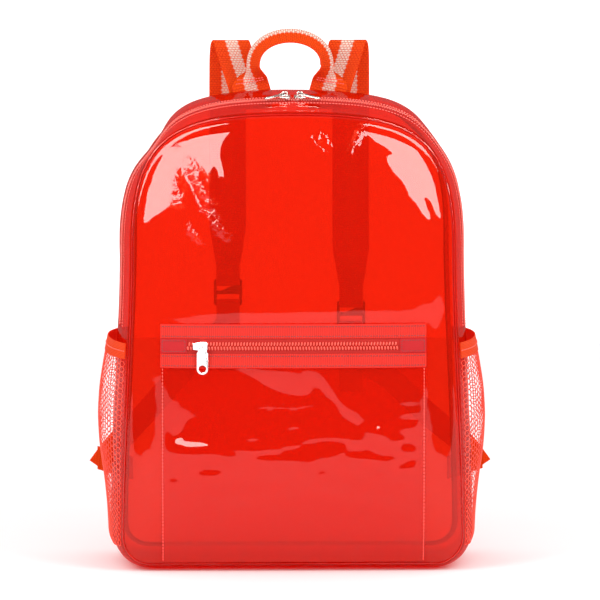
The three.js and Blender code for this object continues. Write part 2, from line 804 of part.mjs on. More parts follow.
// Section at a fold from 0, flat, to 1: points and normals as [inwards, back]
function foldedSection(fold) {
  const bend = THREE.MathUtils.degToRad(handleFold);
  const inner = Math.PI - bend * fold; // heading from the inner edge to the middle
  const outer = THREE.MathUtils.lerp(Math.PI, bend, fold); // from the middle to the outer edge
  const headings = sectionStops.slice(1).map((stop, i) => {
    const middle = (stop + sectionStops[i]) / 2;
    return THREE.MathUtils.lerp(inner, outer, THREE.MathUtils.clamp(0.5 + middle / foldShare, 0, 1));
  });
  const points = [new THREE.Vector2(0, 0)];
  headings.forEach((heading, i) => {
    const run = (sectionStops[i + 1] - sectionStops[i]) * webbingWidth;
    points.push(new THREE.Vector2(Math.cos(heading), Math.sin(heading)).multiplyScalar(run).add(points[i]));
  });
  const middle = points[(sectionStops.length - 1) / 2].clone();
  const normals = points.map((_, i) => {
    const before = headings[Math.max(0, i - 1)];
    const after = headings[Math.min(headings.length - 1, i)];
    const heading = (before + after) / 2;
    return new THREE.Vector2(-Math.sin(heading), Math.cos(heading));
  });
  return points.map((point, i) => ({ point: point.sub(middle), normal: normals[i] }));
}

const footHeight = seamTop - footDepth;
const footInnerEdge = handleHalfSpan - webbingWidth / 2;
const footBack = backPoint(footInnerEdge, footHeight).y + gap + webbingThickness / 2;

function handleRoute() {
  const point = (x, up) => new THREE.Vector3(x, footBack, seamTop + up * handleRise);
  const foot = (side) => new THREE.Vector3(side * handleHalfSpan, footBack, footHeight);
  const seamed = (side) => point(side * handleHalfSpan, 0);
  const turn = (side) => point(side * handleHalfArch, 0.5);
  const rising = (side) => [
    seamed(side),
    point(side * handleHalfSpan, 0.125),
    point(side * handleHalfArch, 0.25),
    turn(side),
  ];
  const archPull = 0.5 + 0.5 * (4 / 3);
  const arch = [turn(-1), point(-handleHalfArch, archPull), point(handleHalfArch, archPull), turn(1)];
  const route = new THREE.CurvePath();
  route.add(new THREE.LineCurve3(foot(-1), seamed(-1)));
  route.add(new THREE.CubicBezierCurve3(...rising(-1)));
  route.add(new THREE.CubicBezierCurve3(...arch));
  route.add(new THREE.CubicBezierCurve3(...rising(1).reverse()));
  route.add(new THREE.LineCurve3(seamed(1), foot(1)));
  return route;
}

function haulHandle() {
  const route = handleRoute();
  const step = 0.002;
  const layer = (side) =>
    steps(0, 1, handleSegments).map((share) => {
      const centre = route.getPoint(share);
      const before = route.getPoint(Math.max(0, share - step));
      const along = route.getPoint(Math.min(1, share + step)).sub(before).normalize();
      const inwards = new THREE.Vector3(along.z, 0, -along.x);
      const fold = THREE.MathUtils.smoothstep((centre.z - seamTop) / handleRise, foldStart, foldEnd);
      return foldedSection(fold).map(({ point, normal }) => {
        const spot = point.addScaledVector(normal, (side * webbingThickness) / 2);
        return centre.clone().addScaledVector(inwards, spot.x).add(new THREE.Vector3(0, spot.y, 0));
      });
    });
  return mesh('haul_handle', wallBetween(layer(1), layer(-1)), looks.webbing());
}

// Shoulder straps, adjusters and lower straps

const strapBack = footBack + webbingThickness + gap;
const adjusterBack = strapBack + adjusterStandOff;

// Route round an adjuster's bar: down its back, under it and up its front
function roundBar(x, y, barHeight, direction, thickness) {
  const turns = 4;
  const corner = Math.hypot(adjusterThickness, adjusterBar) / 2;
  const reach = (corner + gap + thickness / 2) / Math.cos(Math.PI / turns / 2);
  return steps(0, Math.PI, turns).map(
    (angle) =>
      new THREE.Vector3(x, y + reach * Math.cos(angle), barHeight - direction * reach * Math.sin(angle)),
  );
}

function shoulderStrap(name, side) {
  const hang = side * strapHangPlace;
  const topBar = adjusterHeights[name] + (adjusterHeight - adjusterBar) / 2;
  const fold = topBar + strapTurn;
  const layer = (webbingThickness + gap) / 2;
  const over = loopRows.map((row) => {
    const x = side * THREE.MathUtils.lerp(strapFootPlace, strapHangPlace, row.lean);
    const z = footHeight + (strapRise + footDepth) * row.rise;
    return new THREE.Vector3(x, strapBack + strapStandOff * row.back, z);
  });
  const down = hangRows.map((row) => {
    const z = THREE.MathUtils.lerp(footHeight + strapRise / 2, fold, row.down);
    return new THREE.Vector3(hang, strapBack + strapStandOff * row.back, z);
  });
  const meeting = new THREE.Vector3(hang, adjusterBack + layer, fold);
  const route = [
    ...new THREE.CatmullRomCurve3([...over, ...down, meeting]).getPoints(strapSegments),
    ...roundBar(hang, adjusterBack, topBar, 1, webbingThickness),
    new THREE.Vector3(hang, adjusterBack - layer, fold),
    new THREE.Vector3(hang, adjusterBack - layer, fold + strapReturn),
  ];
  const widths = route.map((point) => {
    const widening = THREE.MathUtils.clamp((point.z - fold) / neckTaper, 0, 1);
    return THREE.MathUtils.lerp(strapNeckWidth, webbingWidth, widening);
  });
  return mesh(`shoulder_strap_${name}`, band(route, widths, webbingThickness), looks.webbing());
}

function strapAdjuster(name, side) {
  const slot = strapNeckWidth / 2 + gap;
  const width = slot + adjusterRim;
  const half = adjusterHeight / 2;
  const bevel = adjusterRim / 2;
  const shape = evenShape([
    [-half, width - bevel],
    [bevel - half, width],
    [half - bevel, width],
    [half, width - bevel],
  ]);
  const slots = [-1, 1].map((way) => {
    const near = (way * adjusterBar) / 2;
    const far = way * (half - adjusterBar);
    const low = new THREE.Vector3(Math.min(near, far), -slot, -adjusterThickness);
    return block(low, new THREE.Vector3(Math.max(near, far), slot, adjusterThickness));
  });
  const geometry = pierced(plate(shape, adjusterThickness, -adjusterThickness / 2), slots);
  const adjuster = mesh(`strap_adjuster_${name}`, geometry, looks.plastic());
  adjuster.rotation.set(Math.PI / 2, 0, Math.PI / 2, 'XYZ');
  adjuster.position.set(side * strapHangPlace, adjusterBack, adjusterHeights[name]);
  return adjuster;
}

function tabPoint(side, share) {
  const seamPlace = seamPoint(seamShareAt(tabHeight));
  const x = side * (seamPlace.x - tabFoot + share * (tabReach + tabFoot));
  const z = tabHeight + tabRise * share;
  return new THREE.Vector3(x, backPoint(x, z).y + gap + webbingThickness / 2, z);
}

// Short piece of webbing out of the back seam, that the lower strap is sewn to
function strapTab(name, side) {
  const rows = steps(0, 1, 4).map((share) => tabPoint(side, share));
  const layer = (y) =>
    rows.map((point) =>
      [-0.5, 0.5].map((edge) => point.clone().add(new THREE.Vector3(0, y, edge * strapNeckWidth))),
    );
  const geometry = wallBetween(layer(webbingThickness / 2), layer(-webbingThickness / 2));
  return mesh(`strap_tab_${name}`, geometry, looks.webbing());
}

function lowerStrap(name, side) {
  const hang = side * strapHangPlace;
  const bottomBar = adjusterHeights[name] - (adjusterHeight - adjusterBar) / 2;
  const layer = (webbingThickness + lowerStrapThickness) / 2 + 2 * gap;
  const tip = tabPoint(side, 0.8).add(new THREE.Vector3(0, layer, 0));
  const high = new THREE.Vector3(hang, adjusterBack - looseSpread, bottomBar - 0.8 * strapNeckWidth);
  const slope = slopeRows.map((row) => {
    const stray = new THREE.Vector3(side * row.out, row.back, row.up);
    return tip.clone().lerp(high, row.way).addScaledVector(stray, strapNeckWidth);
  });
  const loose = steps(looseStart, looseEnd, 4).map(
    (down) => new THREE.Vector3(hang, adjusterBack + looseSpread + looseLean * down, bottomBar - down),
  );
  const route = [
    ...new THREE.CatmullRomCurve3(slope).getPoints(lowerStrapSegments),
    ...roundBar(hang, adjusterBack, bottomBar, -1, lowerStrapThickness).reverse(),
    ...loose,
  ];
  const square = new THREE.Vector3(high.z - tip.z, 0, tip.x - high.x).normalize();
  const lies = route.map((_, i) => {
    const turned = THREE.MathUtils.clamp((2 * i) / lowerStrapSegments - 1, 0, 1);
    return square.clone().lerp(new THREE.Vector3(1, 0, 0), turned);
  });
  const widths = route.map(() => strapNeckWidth);
  return mesh(`lower_strap_${name}`, band(route, widths, lowerStrapThickness, lies), looks.webbing());
}

const backpack = new THREE.Group();
backpack.add(...panels(), ...topPieces(), lowerGusset(), ...pocketPieces());
backpack.add(pocketSlider(), ...mainSliders(), haulHandle());
for (const [name, side] of Object.entries(sides)) {
  backpack.add(...netPocket(name, side));
  backpack.add(shoulderStrap(name, side), strapAdjuster(name, side));
  backpack.add(lowerStrap(name, side), strapTab(name, side));
}

export default backpack;
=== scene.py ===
import math

import bmesh
import bpy
import numpy as np
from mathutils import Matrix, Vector, noise


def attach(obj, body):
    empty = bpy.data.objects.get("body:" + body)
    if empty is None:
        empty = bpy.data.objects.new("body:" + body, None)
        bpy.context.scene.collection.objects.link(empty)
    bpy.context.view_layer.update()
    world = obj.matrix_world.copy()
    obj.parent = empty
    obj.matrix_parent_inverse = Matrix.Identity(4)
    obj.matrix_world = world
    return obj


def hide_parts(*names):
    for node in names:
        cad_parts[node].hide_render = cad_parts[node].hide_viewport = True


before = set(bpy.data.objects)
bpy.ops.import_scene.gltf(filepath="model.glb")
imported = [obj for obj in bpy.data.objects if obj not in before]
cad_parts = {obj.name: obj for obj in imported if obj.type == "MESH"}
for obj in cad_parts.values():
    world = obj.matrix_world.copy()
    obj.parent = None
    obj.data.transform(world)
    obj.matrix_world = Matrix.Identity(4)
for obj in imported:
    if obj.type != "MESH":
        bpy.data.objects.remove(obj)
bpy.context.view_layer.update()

# Lengths are in millimetres up to the stage, which is in metres. All colours are linear.
bag = {
    "depth": 128,
    "seamTop": 410,
    "seamBottom": 6,
    "lowHalfWidth": 152,
    "highHalfWidth": 143.5,
    "shoulderHeight": 290,
    "shoulderRise": 105,
    "crownReach": 105,
    "cornerRadius": 24,
    "cornerPull": 66,
    "filmThickness": 0.7,
    "wall": 1.2,
    "gap": 0.3,
    "frontDome": 18,
    "backDome": 8,
    "softDomeShare": 0.25,
    "sideBulge": 14,
    "crownBulge": 17,
    "backInset": 3.8,
    "shoulderTuck": {"left": 0.9, "right": 0.4},
    "tuckHeight": 0.6,
    "tuckSpread": 0.34,
}
bag["frontSeam"] = -bag["depth"] / 2
bag["backSeam"] = bag["depth"] / 2
bag["frontFace"] = bag["frontSeam"] - bag["gap"] - bag["wall"]
bag["backFace"] = bag["backSeam"] + bag["gap"] + bag["wall"]
bag["hubHeight"] = (bag["seamTop"] + bag["seamBottom"]) / 2
sides = {"left": -1, "right": 1}


# Tools for shapes

def lerp(a, b, t):
    return a + (b - a) * t


def smooth(low, high, x):
    t = np.clip((x - low) / (high - low), 0, 1)
    return t * t * (3 - 2 * t)


def bump(x, middle, width):
    return np.exp(-(((x - middle) / width) ** 2))


def unit(v):
    return v / np.maximum(np.linalg.norm(v, axis=-1, keepdims=True), 1e-9)


# Rows of a table, from the names of its columns and the values of each row
def table(columns, *rows):
    return [dict(zip(columns.split(), row)) for row in rows]


def spots(x, y, z):
    return np.stack(np.broadcast_arrays(x, y, z), axis=-1).astype(float)


# Smooth noise between about -1 and 1, with lumps of the given size
def lumps(points, size, seed, octaves=2):
    shift = Vector((17.3 * seed, 5.1 * seed, 9.7 * seed))
    flat = points.reshape(-1, 3) / size
    values = [noise.fractal(Vector(p) + shift, 1.0, 2.0, octaves) for p in flat]
    return np.array(values).reshape(points.shape[:-1])


def bezier(a, b, c, d, count=60):
    t = np.linspace(0, 1, count)[:, None]
    a, b, c, d = (np.array(p, float) for p in (a, b, c, d))
    return (1 - t) ** 3 * a + 3 * (1 - t) ** 2 * t * b + 3 * (1 - t) * t ** 2 * c + t ** 3 * d


# Lengths from the start of a line to each of its points
def runAlong(line):
    return np.concatenate([[0], np.cumsum(np.linalg.norm(np.diff(line, axis=0), axis=1))])


def pickAt(at, run, values):
    return np.stack([np.interp(at, run, values[:, i]) for i in range(values.shape[1])], -1)


# Points evenly spaced along a line of points
def evenly(line, count):
    run = runAlong(line)
    return pickAt(np.linspace(0, run[-1], count), run, line)


# Smooth curve through a few points, tighter where they are close together
def curveThrough(points, count):
    points = np.array(points, float)
    ends = [2 * points[0] - points[1], 2 * points[-1] - points[-2]]
    padded = np.vstack([ends[0], points, ends[1]])
    found = []
    for i in range(len(points) - 1):
        p = padded[i:i + 4]
        knots = np.concatenate([[0], np.cumsum(np.linalg.norm(np.diff(p, axis=0), axis=1) ** 0.5)])
        t = np.linspace(knots[1], knots[2], 24)[:, None]
        a = [p[j] + (p[j + 1] - p[j]) * (t - knots[j]) / (knots[j + 1] - knots[j]) for j in range(3)]
        b = [a[j] + (a[j + 1] - a[j]) * (t - knots[j]) / (knots[j + 2] - knots[j]) for j in range(2)]
        found.append(b[0] + (b[1] - b[0]) * (t - knots[1]) / (knots[2] - knots[1]))
    return evenly(np.vstack(found), count)


# Tools for pieces

# Gives a piece its finish, its body and the CAD nodes it stands for
def settle(piece, finish, nodes, body):
    piece.data.materials.append(finish["material"])
    if nodes:
        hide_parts(*nodes)
    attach(piece, body)


# Adds a mesh with its places along and across the cloth, in millimetres
def addPiece(name, points, faces, finish, nodes=(), body="bag", place=None, sharp=45, merge=False):
    mesh = bpy.data.meshes.new(name)
    mesh.from_pydata((np.asarray(points) / 1000).tolist(), [], faces)
    if place is not None:
        attribute = mesh.attributes.new("place", "FLOAT_VECTOR", "POINT")
        attribute.data.foreach_set("vector", np.asarray(place, np.float32).ravel())
    shape = bmesh.new()
    shape.from_mesh(mesh)
    if merge:
        bmesh.ops.remove_doubles(shape, verts=shape.verts, dist=1e-6)
    bmesh.ops.recalc_face_normals(shape, faces=shape.faces)
    shape.to_mesh(mesh)
    shape.free()
    mesh.shade_smooth()
    mesh.set_sharp_from_angle(angle=math.radians(sharp))
    piece = bpy.data.objects.new(name, mesh)
    bpy.context.scene.collection.objects.link(piece)
    settle(piece, finish, nodes, body)


# Corner numbers of the quads of a grid, closed over its rows or its columns
def gridFaces(rows, columns, start=0, closed=False, tube=False):
    i = np.arange(rows if closed else rows - 1)[:, None]
    j = np.arange(columns if tube else columns - 1)[None, :]
    nextRow, nextColumn = (i + 1) % rows * columns, (j + 1) % columns
    corners = [i * columns + j, nextRow + j, nextRow + nextColumn, i * columns + nextColumn]
    return (np.stack(corners, axis=-1).reshape(-1, 4) + start).tolist()


# Closed wall between an outer and an inner grid of points
def wallFaces(rows, columns, closed=False, pole=False):
    count = rows * columns
    faces = gridFaces(rows, columns, 0, closed) + gridFaces(rows, columns, count, closed)
    for i in range(rows if closed else rows - 1):
        a, b = i * columns, ((i + 1) % rows) * columns
        faces.append([a, b, b + count, a + count])
        if not pole:
            last = columns - 1
            faces.append([a + last, b + last, b + last + count, a + last + count])
    if not closed:
        for j in range(columns - 1):
            a = (rows - 1) * columns + j
            faces.append([j, j + 1, j + 1 + count, j + count])
            faces.append([a, a + 1, a + 1 + count, a + count])
    return faces


# Lengths across each row of a grid, from its middle
def runAcross(grid):
    run = np.cumsum(np.linalg.norm(np.diff(grid, axis=1, prepend=grid[:, :1]), axis=-1), axis=1)
    return run - run[:, -1:] / 2


def addWall(name, outer, inner, finish, nodes=(), closed=False, pole=False, creased=0):
    rows, columns = outer.shape[:2]
    points = np.concatenate([outer.reshape(-1, 3), inner.reshape(-1, 3)])
    along = np.linalg.norm(np.diff(outer, axis=0, append=outer[:1]), axis=-1)
    v = np.concatenate([np.zeros((1, columns)), np.cumsum(along, axis=0)[:-1]])
    u, v = runAcross(outer), np.repeat(v[:, columns // 2:columns // 2 + 1], columns, 1)
    place = np.concatenate([np.stack([u, v, creased + 0 * u], -1).reshape(-1, 3)] * 2)
    faces = wallFaces(rows, columns, closed, pole)
    addPiece(name, points, faces, finish, nodes, place=place, sharp=60, merge=pole)


# Closed ribbon with rounded long edges round a grid of middle points
def addRibbon(name, middle, thickness, finish, *nodes):
    rows, columns = middle.shape[:2]
    across = np.gradient(middle, axis=1)
    out = unit(np.cross(across, np.gradient(middle, axis=0)))
    half = thickness / 2
    top, bottom = middle + out * half, middle - out * half
    left = middle[:, :1] - unit(across[:, :1]) * half * 0.8
    right = middle[:, -1:] + unit(across[:, -1:]) * half * 0.8
    ring = np.concatenate([left, top, right, bottom[:, ::-1]], axis=1)
    count = ring.shape[1]
    faces = gridFaces(rows, count, tube=True)
    for first in (0, (rows - 1) * count):
        last = first + count
        faces.append([first, first + 1, last - 1])
        for j in range(1, columns):
            faces.append([first + j, first + j + 1, last - j - 1, last - j])
        faces.append([first + columns, first + columns + 1, last - columns])
    u, v = runAcross(middle), runAlong(middle[:, columns // 2])
    ringU = np.concatenate([u[:, :1], u, u[:, -1:], u[:, ::-1]], axis=1)
    place = np.stack([ringU, np.repeat(v[:, None], count, 1), 0 * ringU], -1).reshape(-1, 3)
    addPiece(name, ring.reshape(-1, 3), faces, finish, nodes, place=place)


# Flat ribbon along a route, with the directions that its width lies near
def flatMiddle(route, width, lies):
    ahead = unit(np.gradient(route, axis=0))
    across = unit(lies - ahead * (ahead * lies).sum(1, keepdims=True))
    return route[:, None] + across[:, None] * np.linspace(-0.5, 0.5, 11)[None, :, None] * width


# Rows of short rounded bars: stitches, or the teeth of a zip
def addBars(name, places, bar, finish, *nodes):
    middles, alongs, outs = (np.concatenate(group) for group in zip(*places))
    rings = np.array([[-1, 0.3, -1], [-0.72, 0.9, -0.25], [0, 1, 0], [0.72, 0.9, -0.25], [1, 0.3, -1]])
    turns = np.linspace(0, 2 * math.pi, 7)[:-1]
    x = np.repeat(rings[:, 0] * bar["length"] / 2, 6)
    y = np.outer(rings[:, 1], np.cos(turns)).ravel() * bar["width"] / 2
    z = np.outer(rings[:, 1], np.sin(turns)).ravel() * bar["height"] / 2
    z = z + np.repeat(rings[:, 2], 6) * bar["dip"]
    alongs = unit(alongs)
    beside = unit(np.cross(outs, alongs))
    outs = np.cross(alongs, beside)
    points = middles[:, None]
    for way, size in ((alongs, x), (beside, y), (outs, z)):
        points = points + way[:, None] * size[None, :, None]
    one = [[r * 6 + k, r * 6 + (k + 1) % 6, (r + 1) * 6 + (k + 1) % 6, (r + 1) * 6 + k]
           for r in range(4) for k in range(6)]
    one += [[5, 4, 3, 2, 1, 0], [24, 25, 26, 27, 28, 29]]
    faces = [[c + 30 * i for c in face] for i in range(len(points)) for face in one]
    addPiece(name, points.reshape(-1, 3), faces, finish, nodes)


# Places of stitches along a line: points, directions along it and outwards
def stitchPlaces(line, outs, every):
    run = runAlong(line)
    count = max(2, int(run[-1] // every))
    at = (np.arange(count) + 0.5) * run[-1] / count
    along = pickAt(np.minimum(at + 0.5, run[-1]), run, line) - pickAt(np.maximum(at - 0.5, 0), run, line)
    return pickAt(at, run, line), along, unit(pickAt(at, run, outs))


# CAD node with its edges rounded
def addRounded(name, node, radius, finish, body="bag"):
    piece = bpy.data.objects.new(name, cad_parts[node].data.copy())
    bpy.context.scene.collection.objects.link(piece)
    shape = bmesh.new()
    shape.from_mesh(piece.data)
    bmesh.ops.remove_doubles(shape, verts=shape.verts, dist=1e-6)
    flat = math.radians(3)
    bmesh.ops.dissolve_limit(shape, angle_limit=flat, verts=shape.verts, edges=shape.edges)
    shape.to_mesh(piece.data)
    shape.free()
    piece.data.materials.clear()
    piece.data.shade_smooth()
    bevel = piece.modifiers.new("rounding", "BEVEL")
    bevel.width = radius / 1000
    bevel.segments = 3
    bevel.limit_method = "ANGLE"
    bevel.angle_limit = math.radians(35)
    bevel.harden_normals = True
    settle(piece, finish, (node,), body)


# Surfaces of the bag

# Seam line of both panels, anticlockwise from the middle of the base
def makeSeam():
    low, high = bag["lowHalfWidth"], bag["highHalfWidth"]
    bottom, top, radius = bag["seamBottom"], bag["seamTop"], bag["cornerRadius"]
    shoulder = bag["shoulderHeight"]
    turn = np.linspace(-math.pi / 2, 0, 40)
    corner = np.stack([low - radius + radius * np.cos(turn), bottom + radius + radius * np.sin(turn)], 1)
    pull, rise, reach = bag["cornerPull"], bag["shoulderRise"], bag["crownReach"]
    cornerTop = bottom + radius
    side = bezier((low, cornerTop), (low, cornerTop + pull), (high, shoulder - pull), (high, shoulder))
    arch = bezier((high, shoulder), (high, shoulder + rise), (reach, top), (0, top))
    half = np.vstack([[[0, bottom]], corner, side[1:], arch[1:]])
    return np.vstack([half, half[::-1][1:] * [-1, 1]])


seamPoints = makeSeam()
seamRun = runAlong(seamPoints)
seamLength = seamRun[-1]


def seamAt(share):
    return pickAt(np.mod(share, 1) * seamLength, seamRun, seamPoints)


def seamOut(share):
    along = unit(seamAt(share + 0.002) - seamAt(share - 0.002))
    return np.stack([along[..., 1], -along[..., 0]], -1)


def seamShareAt(height):
    shares = np.linspace(0, 0.5, 4001)
    return float(np.interp(height, seamAt(shares[:-1])[:, 1], shares[:-1]))


# Point of the rim at a share of the depth: the bag narrows a little to its back
def rimAt(share, across):
    out = seamOut(share)
    low = smooth(0, 1, -out[..., 1])
    top = smooth(0.75, 1, out[..., 1])
    inset = across * bag["backInset"] * (1 - low) * (1 - top)
    return seamAt(share) - out * inset[..., None]


def makeRim(across):
    points = rimAt(np.linspace(0, 1, 1440, endpoint=False), across)
    angles = np.arctan2(points[:, 1] - bag["hubHeight"], points[:, 0])
    order = np.argsort(angles)
    return angles[order], np.hypot(points[:, 0], points[:, 1] - bag["hubHeight"])[order]


frontRim = makeRim(0)
backRim = makeRim(1)


def rimShare(rim, x, z):
    reach = np.interp(np.arctan2(z - bag["hubHeight"], x), *rim, period=2 * math.pi)
    return np.hypot(x, z - bag["hubHeight"]) / reach


def domeRise(share):
    soft = bag["softDomeShare"]
    return soft * (1 - share ** 2) + (1 - soft) * (1 - share ** 10)


def frontAt(x, z):
    return spots(x, bag["frontFace"] - bag["frontDome"] * domeRise(rimShare(frontRim, x, z)), z)


def backAt(x, z):
    share = np.minimum(rimShare(backRim, x, z), 1)
    return spots(x, bag["backFace"] + bag["backDome"] * domeRise(share), z)


# How much of its bulge the gusset has, by its share of the depth
bulgeRows = table(
    "across arch base",
    (0, 0, 0),
    (0.05, 0.24, 0.62),
    (0.12, 0.42, 1),
    (0.2, 0.63, 1),
    (0.3, 0.79, 1),
    (0.42, 0.93, 1),
    (0.56, 1, 1),
    (0.72, 0.94, 1),
    (0.88, 0.7, 1),
    (0.95, 0.36, 0.62),
    (1, 0, 0),
)


# Table column as a smooth curve
def tableCurve(rows, key, column, blur):
    fine = np.linspace(-0.2, 1.2, 1401)
    keys = [row[key] for row in rows]
    values = [row[column] for row in rows]
    inside = np.interp(fine, keys, values)
    mirrored = np.where(fine < 0, 2 * values[0] - np.interp(-fine, keys, values), inside)
    mirrored = np.where(fine > 1, 2 * values[-1] - np.interp(2 - fine, keys, values), mirrored)
    kernel = np.exp(-0.5 * (np.arange(-100, 101) / 1000 / blur) ** 2)
    soft = np.convolve(mirrored, kernel / kernel.sum(), "same")
    return lambda at: np.interp(at, fine, soft)


archCurve = tableCurve(bulgeRows, "across", "arch", 0.018)
baseCurve = tableCurve(bulgeRows, "across", "base", 0.014)


def gussetAt(share, across):
    out = seamOut(share)
    low = smooth(0, 1, -out[..., 1])
    high = smooth(0, 1, out[..., 1])
    tuck = lerp(bag["shoulderTuck"]["left"], bag["shoulderTuck"]["right"], smooth(-0.5, 0.5, out[..., 0]))
    tucked = tuck * bump(out[..., 1], bag["tuckHeight"], bag["tuckSpread"])
    bulge = bag["crownBulge"] * high + bag["sideBulge"] * (1 - low - high)
    height = bag["seamBottom"] * low + bulge * (1 - tucked)
    rise = height * lerp(archCurve(across), baseCurve(across), low)
    point = rimAt(share, across) + out * rise[..., None]
    return spots(point[..., 0], bag["frontSeam"] + across * bag["depth"], point[..., 1])


def surfaceOut(at, u, v, step, turn):
    alongU = at(u + step, v) - at(u - step, v)
    alongV = at(u, v + step) - at(u, v - step)
    return unit(np.cross(alongU, alongV)) * turn


# Places at a distance from a surface
def offSurface(at, u, v, lift, step, turn):
    u, v = np.broadcast_arrays(np.asarray(u, float), np.asarray(v, float))
    return at(u, v) + surfaceOut(at, u, v, step, turn) * np.asarray(lift)[..., None]


def offFront(x, z, lift):
    return offSurface(frontAt, x, z, lift, 0.6, 1)


def offBack(x, z, lift):
    return offSurface(backAt, x, z, lift, 0.6, -1)


def offGusset(share, across, lift):
    return offSurface(gussetAt, share, across, lift, 0.002, -1)


# Finishes

def fill(tree, socket, value):
    if isinstance(value, bpy.types.NodeSocket):
        tree.links.new(value, socket)
    else:
        socket.default_value = value


def addNode(tree, kind, inputs=None, **settings):
    made = tree.nodes.new("ShaderNode" + kind)
    for key, value in settings.items():
        setattr(made, key, value)
    for key, value in (inputs or {}).items():
        fill(tree, made.inputs[key], value)
    return made.outputs


def startFinish(name, slot):
    material = bpy.data.materials.new(name)
    material.use_nodes = True
    material.node_tree.nodes.clear()
    return {"material": material, "slot": slot}, material.node_tree


def endFinish(tree, shader):
    addNode(tree, "OutputMaterial", {"Surface": shader})


def mathNode(tree, operation, *values):
    return addNode(tree, "Math", dict(enumerate(values)), operation=operation)[0]


def mixColours(tree, share, a, b):
    a, b = ((*colour, 1) if isinstance(colour, tuple) else colour for colour in (a, b))
    return addNode(tree, "Mix", {0: share, 6: a, 7: b}, data_type="RGBA")[2]


def noiseNode(tree, where, scale, detail, **more):
    return addNode(tree, "TexNoise", {"Vector": where, "Scale": scale, "Detail": detail, **more})[0]


def bumpNode(tree, height, strength, distance, **more):
    inputs = {"Height": height, "Strength": strength, "Distance": distance / 1000, **more}
    return addNode(tree, "Bump", inputs)[0]


# Place on a piece in millimetres, whole and split: across it, along it and how creased it is
def placeNodes(tree):
    place = addNode(tree, "Attribute", attribute_name="place")["Vector"]
    return place, addNode(tree, "SeparateXYZ", {0: place})


# See-through vinyl: tinted, with a little of its own colour in the film, and glossy
def filmFinish(name, look):
    finish, tree = startFinish(name, "clear_vinyl")
    where = addNode(tree, "TexCoord")["Object"]
    wave = noiseNode(tree, where, look["waveScale"], 2.0)
    crease = noiseNode(tree, where, look["creaseScale"], 1.0, Distortion=look["creaseTwist"])
    height = mathNode(tree, "MULTIPLY", crease, placeNodes(tree)[1][2])
    soft = bumpNode(tree, wave, look["waveStrength"], look["waveHeight"])
    normal = bumpNode(tree, height, 1.0, look["creaseHeight"], Normal=soft)
    facing = addNode(tree, "LayerWeight", {"Blend": 0.5, "Normal": normal})["Facing"]
    edge = mathNode(tree, "POWER", facing, 5.0)
    mirror = mathNode(tree, "MULTIPLY_ADD", edge, look["edgeMirror"], look["mirror"])
    tint = mixColours(tree, mathNode(tree, "POWER", facing, 3.0), look["tint"], look["slantTint"])
    clear = addNode(tree, "BsdfTransparent", {"Color": tint})[0]
    colour = (*look["body"], 1)
    back = addNode(tree, "BsdfTranslucent", {"Color": colour})[0]
    front = addNode(tree, "BsdfDiffuse", {"Color": colour, "Normal": normal})[0]
    body = addNode(tree, "MixShader", {0: 0.5, 1: back, 2: front})[0]
    filled = addNode(tree, "MixShader", {0: look["milkiness"], 1: clear, 2: body})[0]
    gloss = addNode(tree, "BsdfAnisotropic", {"Roughness": look["roughness"], "Normal": normal})[0]
    endFinish(tree, addNode(tree, "MixShader", {0: mirror, 1: filled, 2: gloss})[0])
    return finish


# Cloth that lets some light through
def endCloth(tree, colour, normal, look):
    skin = addNode(tree, "BsdfPrincipled", {
        "Base Color": colour, "Roughness": look["roughness"], "Specular IOR Level": look["shine"],
        "Normal": normal,
    })[0]
    glow = addNode(tree, "BsdfTranslucent", {"Color": colour})[0]
    endFinish(tree, addNode(tree, "MixShader", {0: look["glow"], 1: skin, 2: glow})[0])


# Woven webbing, with a stripe of another colour along its middle, and painted shade in the gaps of its
# weave
def webbingFinish(name, slot, look):
    finish, tree = startFinish(name, slot)
    place, split = placeNodes(tree)
    weave = addNode(tree, "TexBrick", {
        "Vector": place, "Scale": 1.0, "Mortar Size": look["gapWidth"], "Mortar Smooth": 1.0,
        "Brick Width": look["floatLength"], "Row Height": look["pickHeight"],
    }, offset=0.5)
    height = mathNode(tree, "SUBTRACT", 1.0, weave["Fac"])
    turn = mathNode(tree, "MULTIPLY", split[1], 2 * math.pi / look["toothLength"])
    away = mathNode(tree, "ABSOLUTE", split[0])
    away = mathNode(tree, "MULTIPLY_ADD", mathNode(tree, "SINE", turn), look["toothDepth"], away)
    stripe = addNode(tree, "MapRange", {
        "Value": away, "From Min": look["stripeHalf"] - 0.25, "From Max": look["stripeHalf"] + 0.25,
        "To Min": 1.0, "To Max": 0.0,
    })[0]
    # The low gaps of the weave take the darker colour: painted shade in the hollows between floats, on the
    # ground and on the stripe
    base = mixColours(tree, height, look["gapShade"], look["ground"])
    pale = mixColours(tree, height, look["stripeGapShade"], look["stripe"])
    patch = mathNode(tree, "MULTIPLY", noiseNode(tree, place, 0.09, 3.0), 0.35)
    colour = mixColours(tree, stripe, mixColours(tree, patch, base, look["worn"]), pale)
    relief = mathNode(tree, "MULTIPLY_ADD", noiseNode(tree, place, 3.0, 3.0), 0.35, height)
    endCloth(tree, colour, bumpNode(tree, relief, 0.8, look["relief"]), look)
    return finish


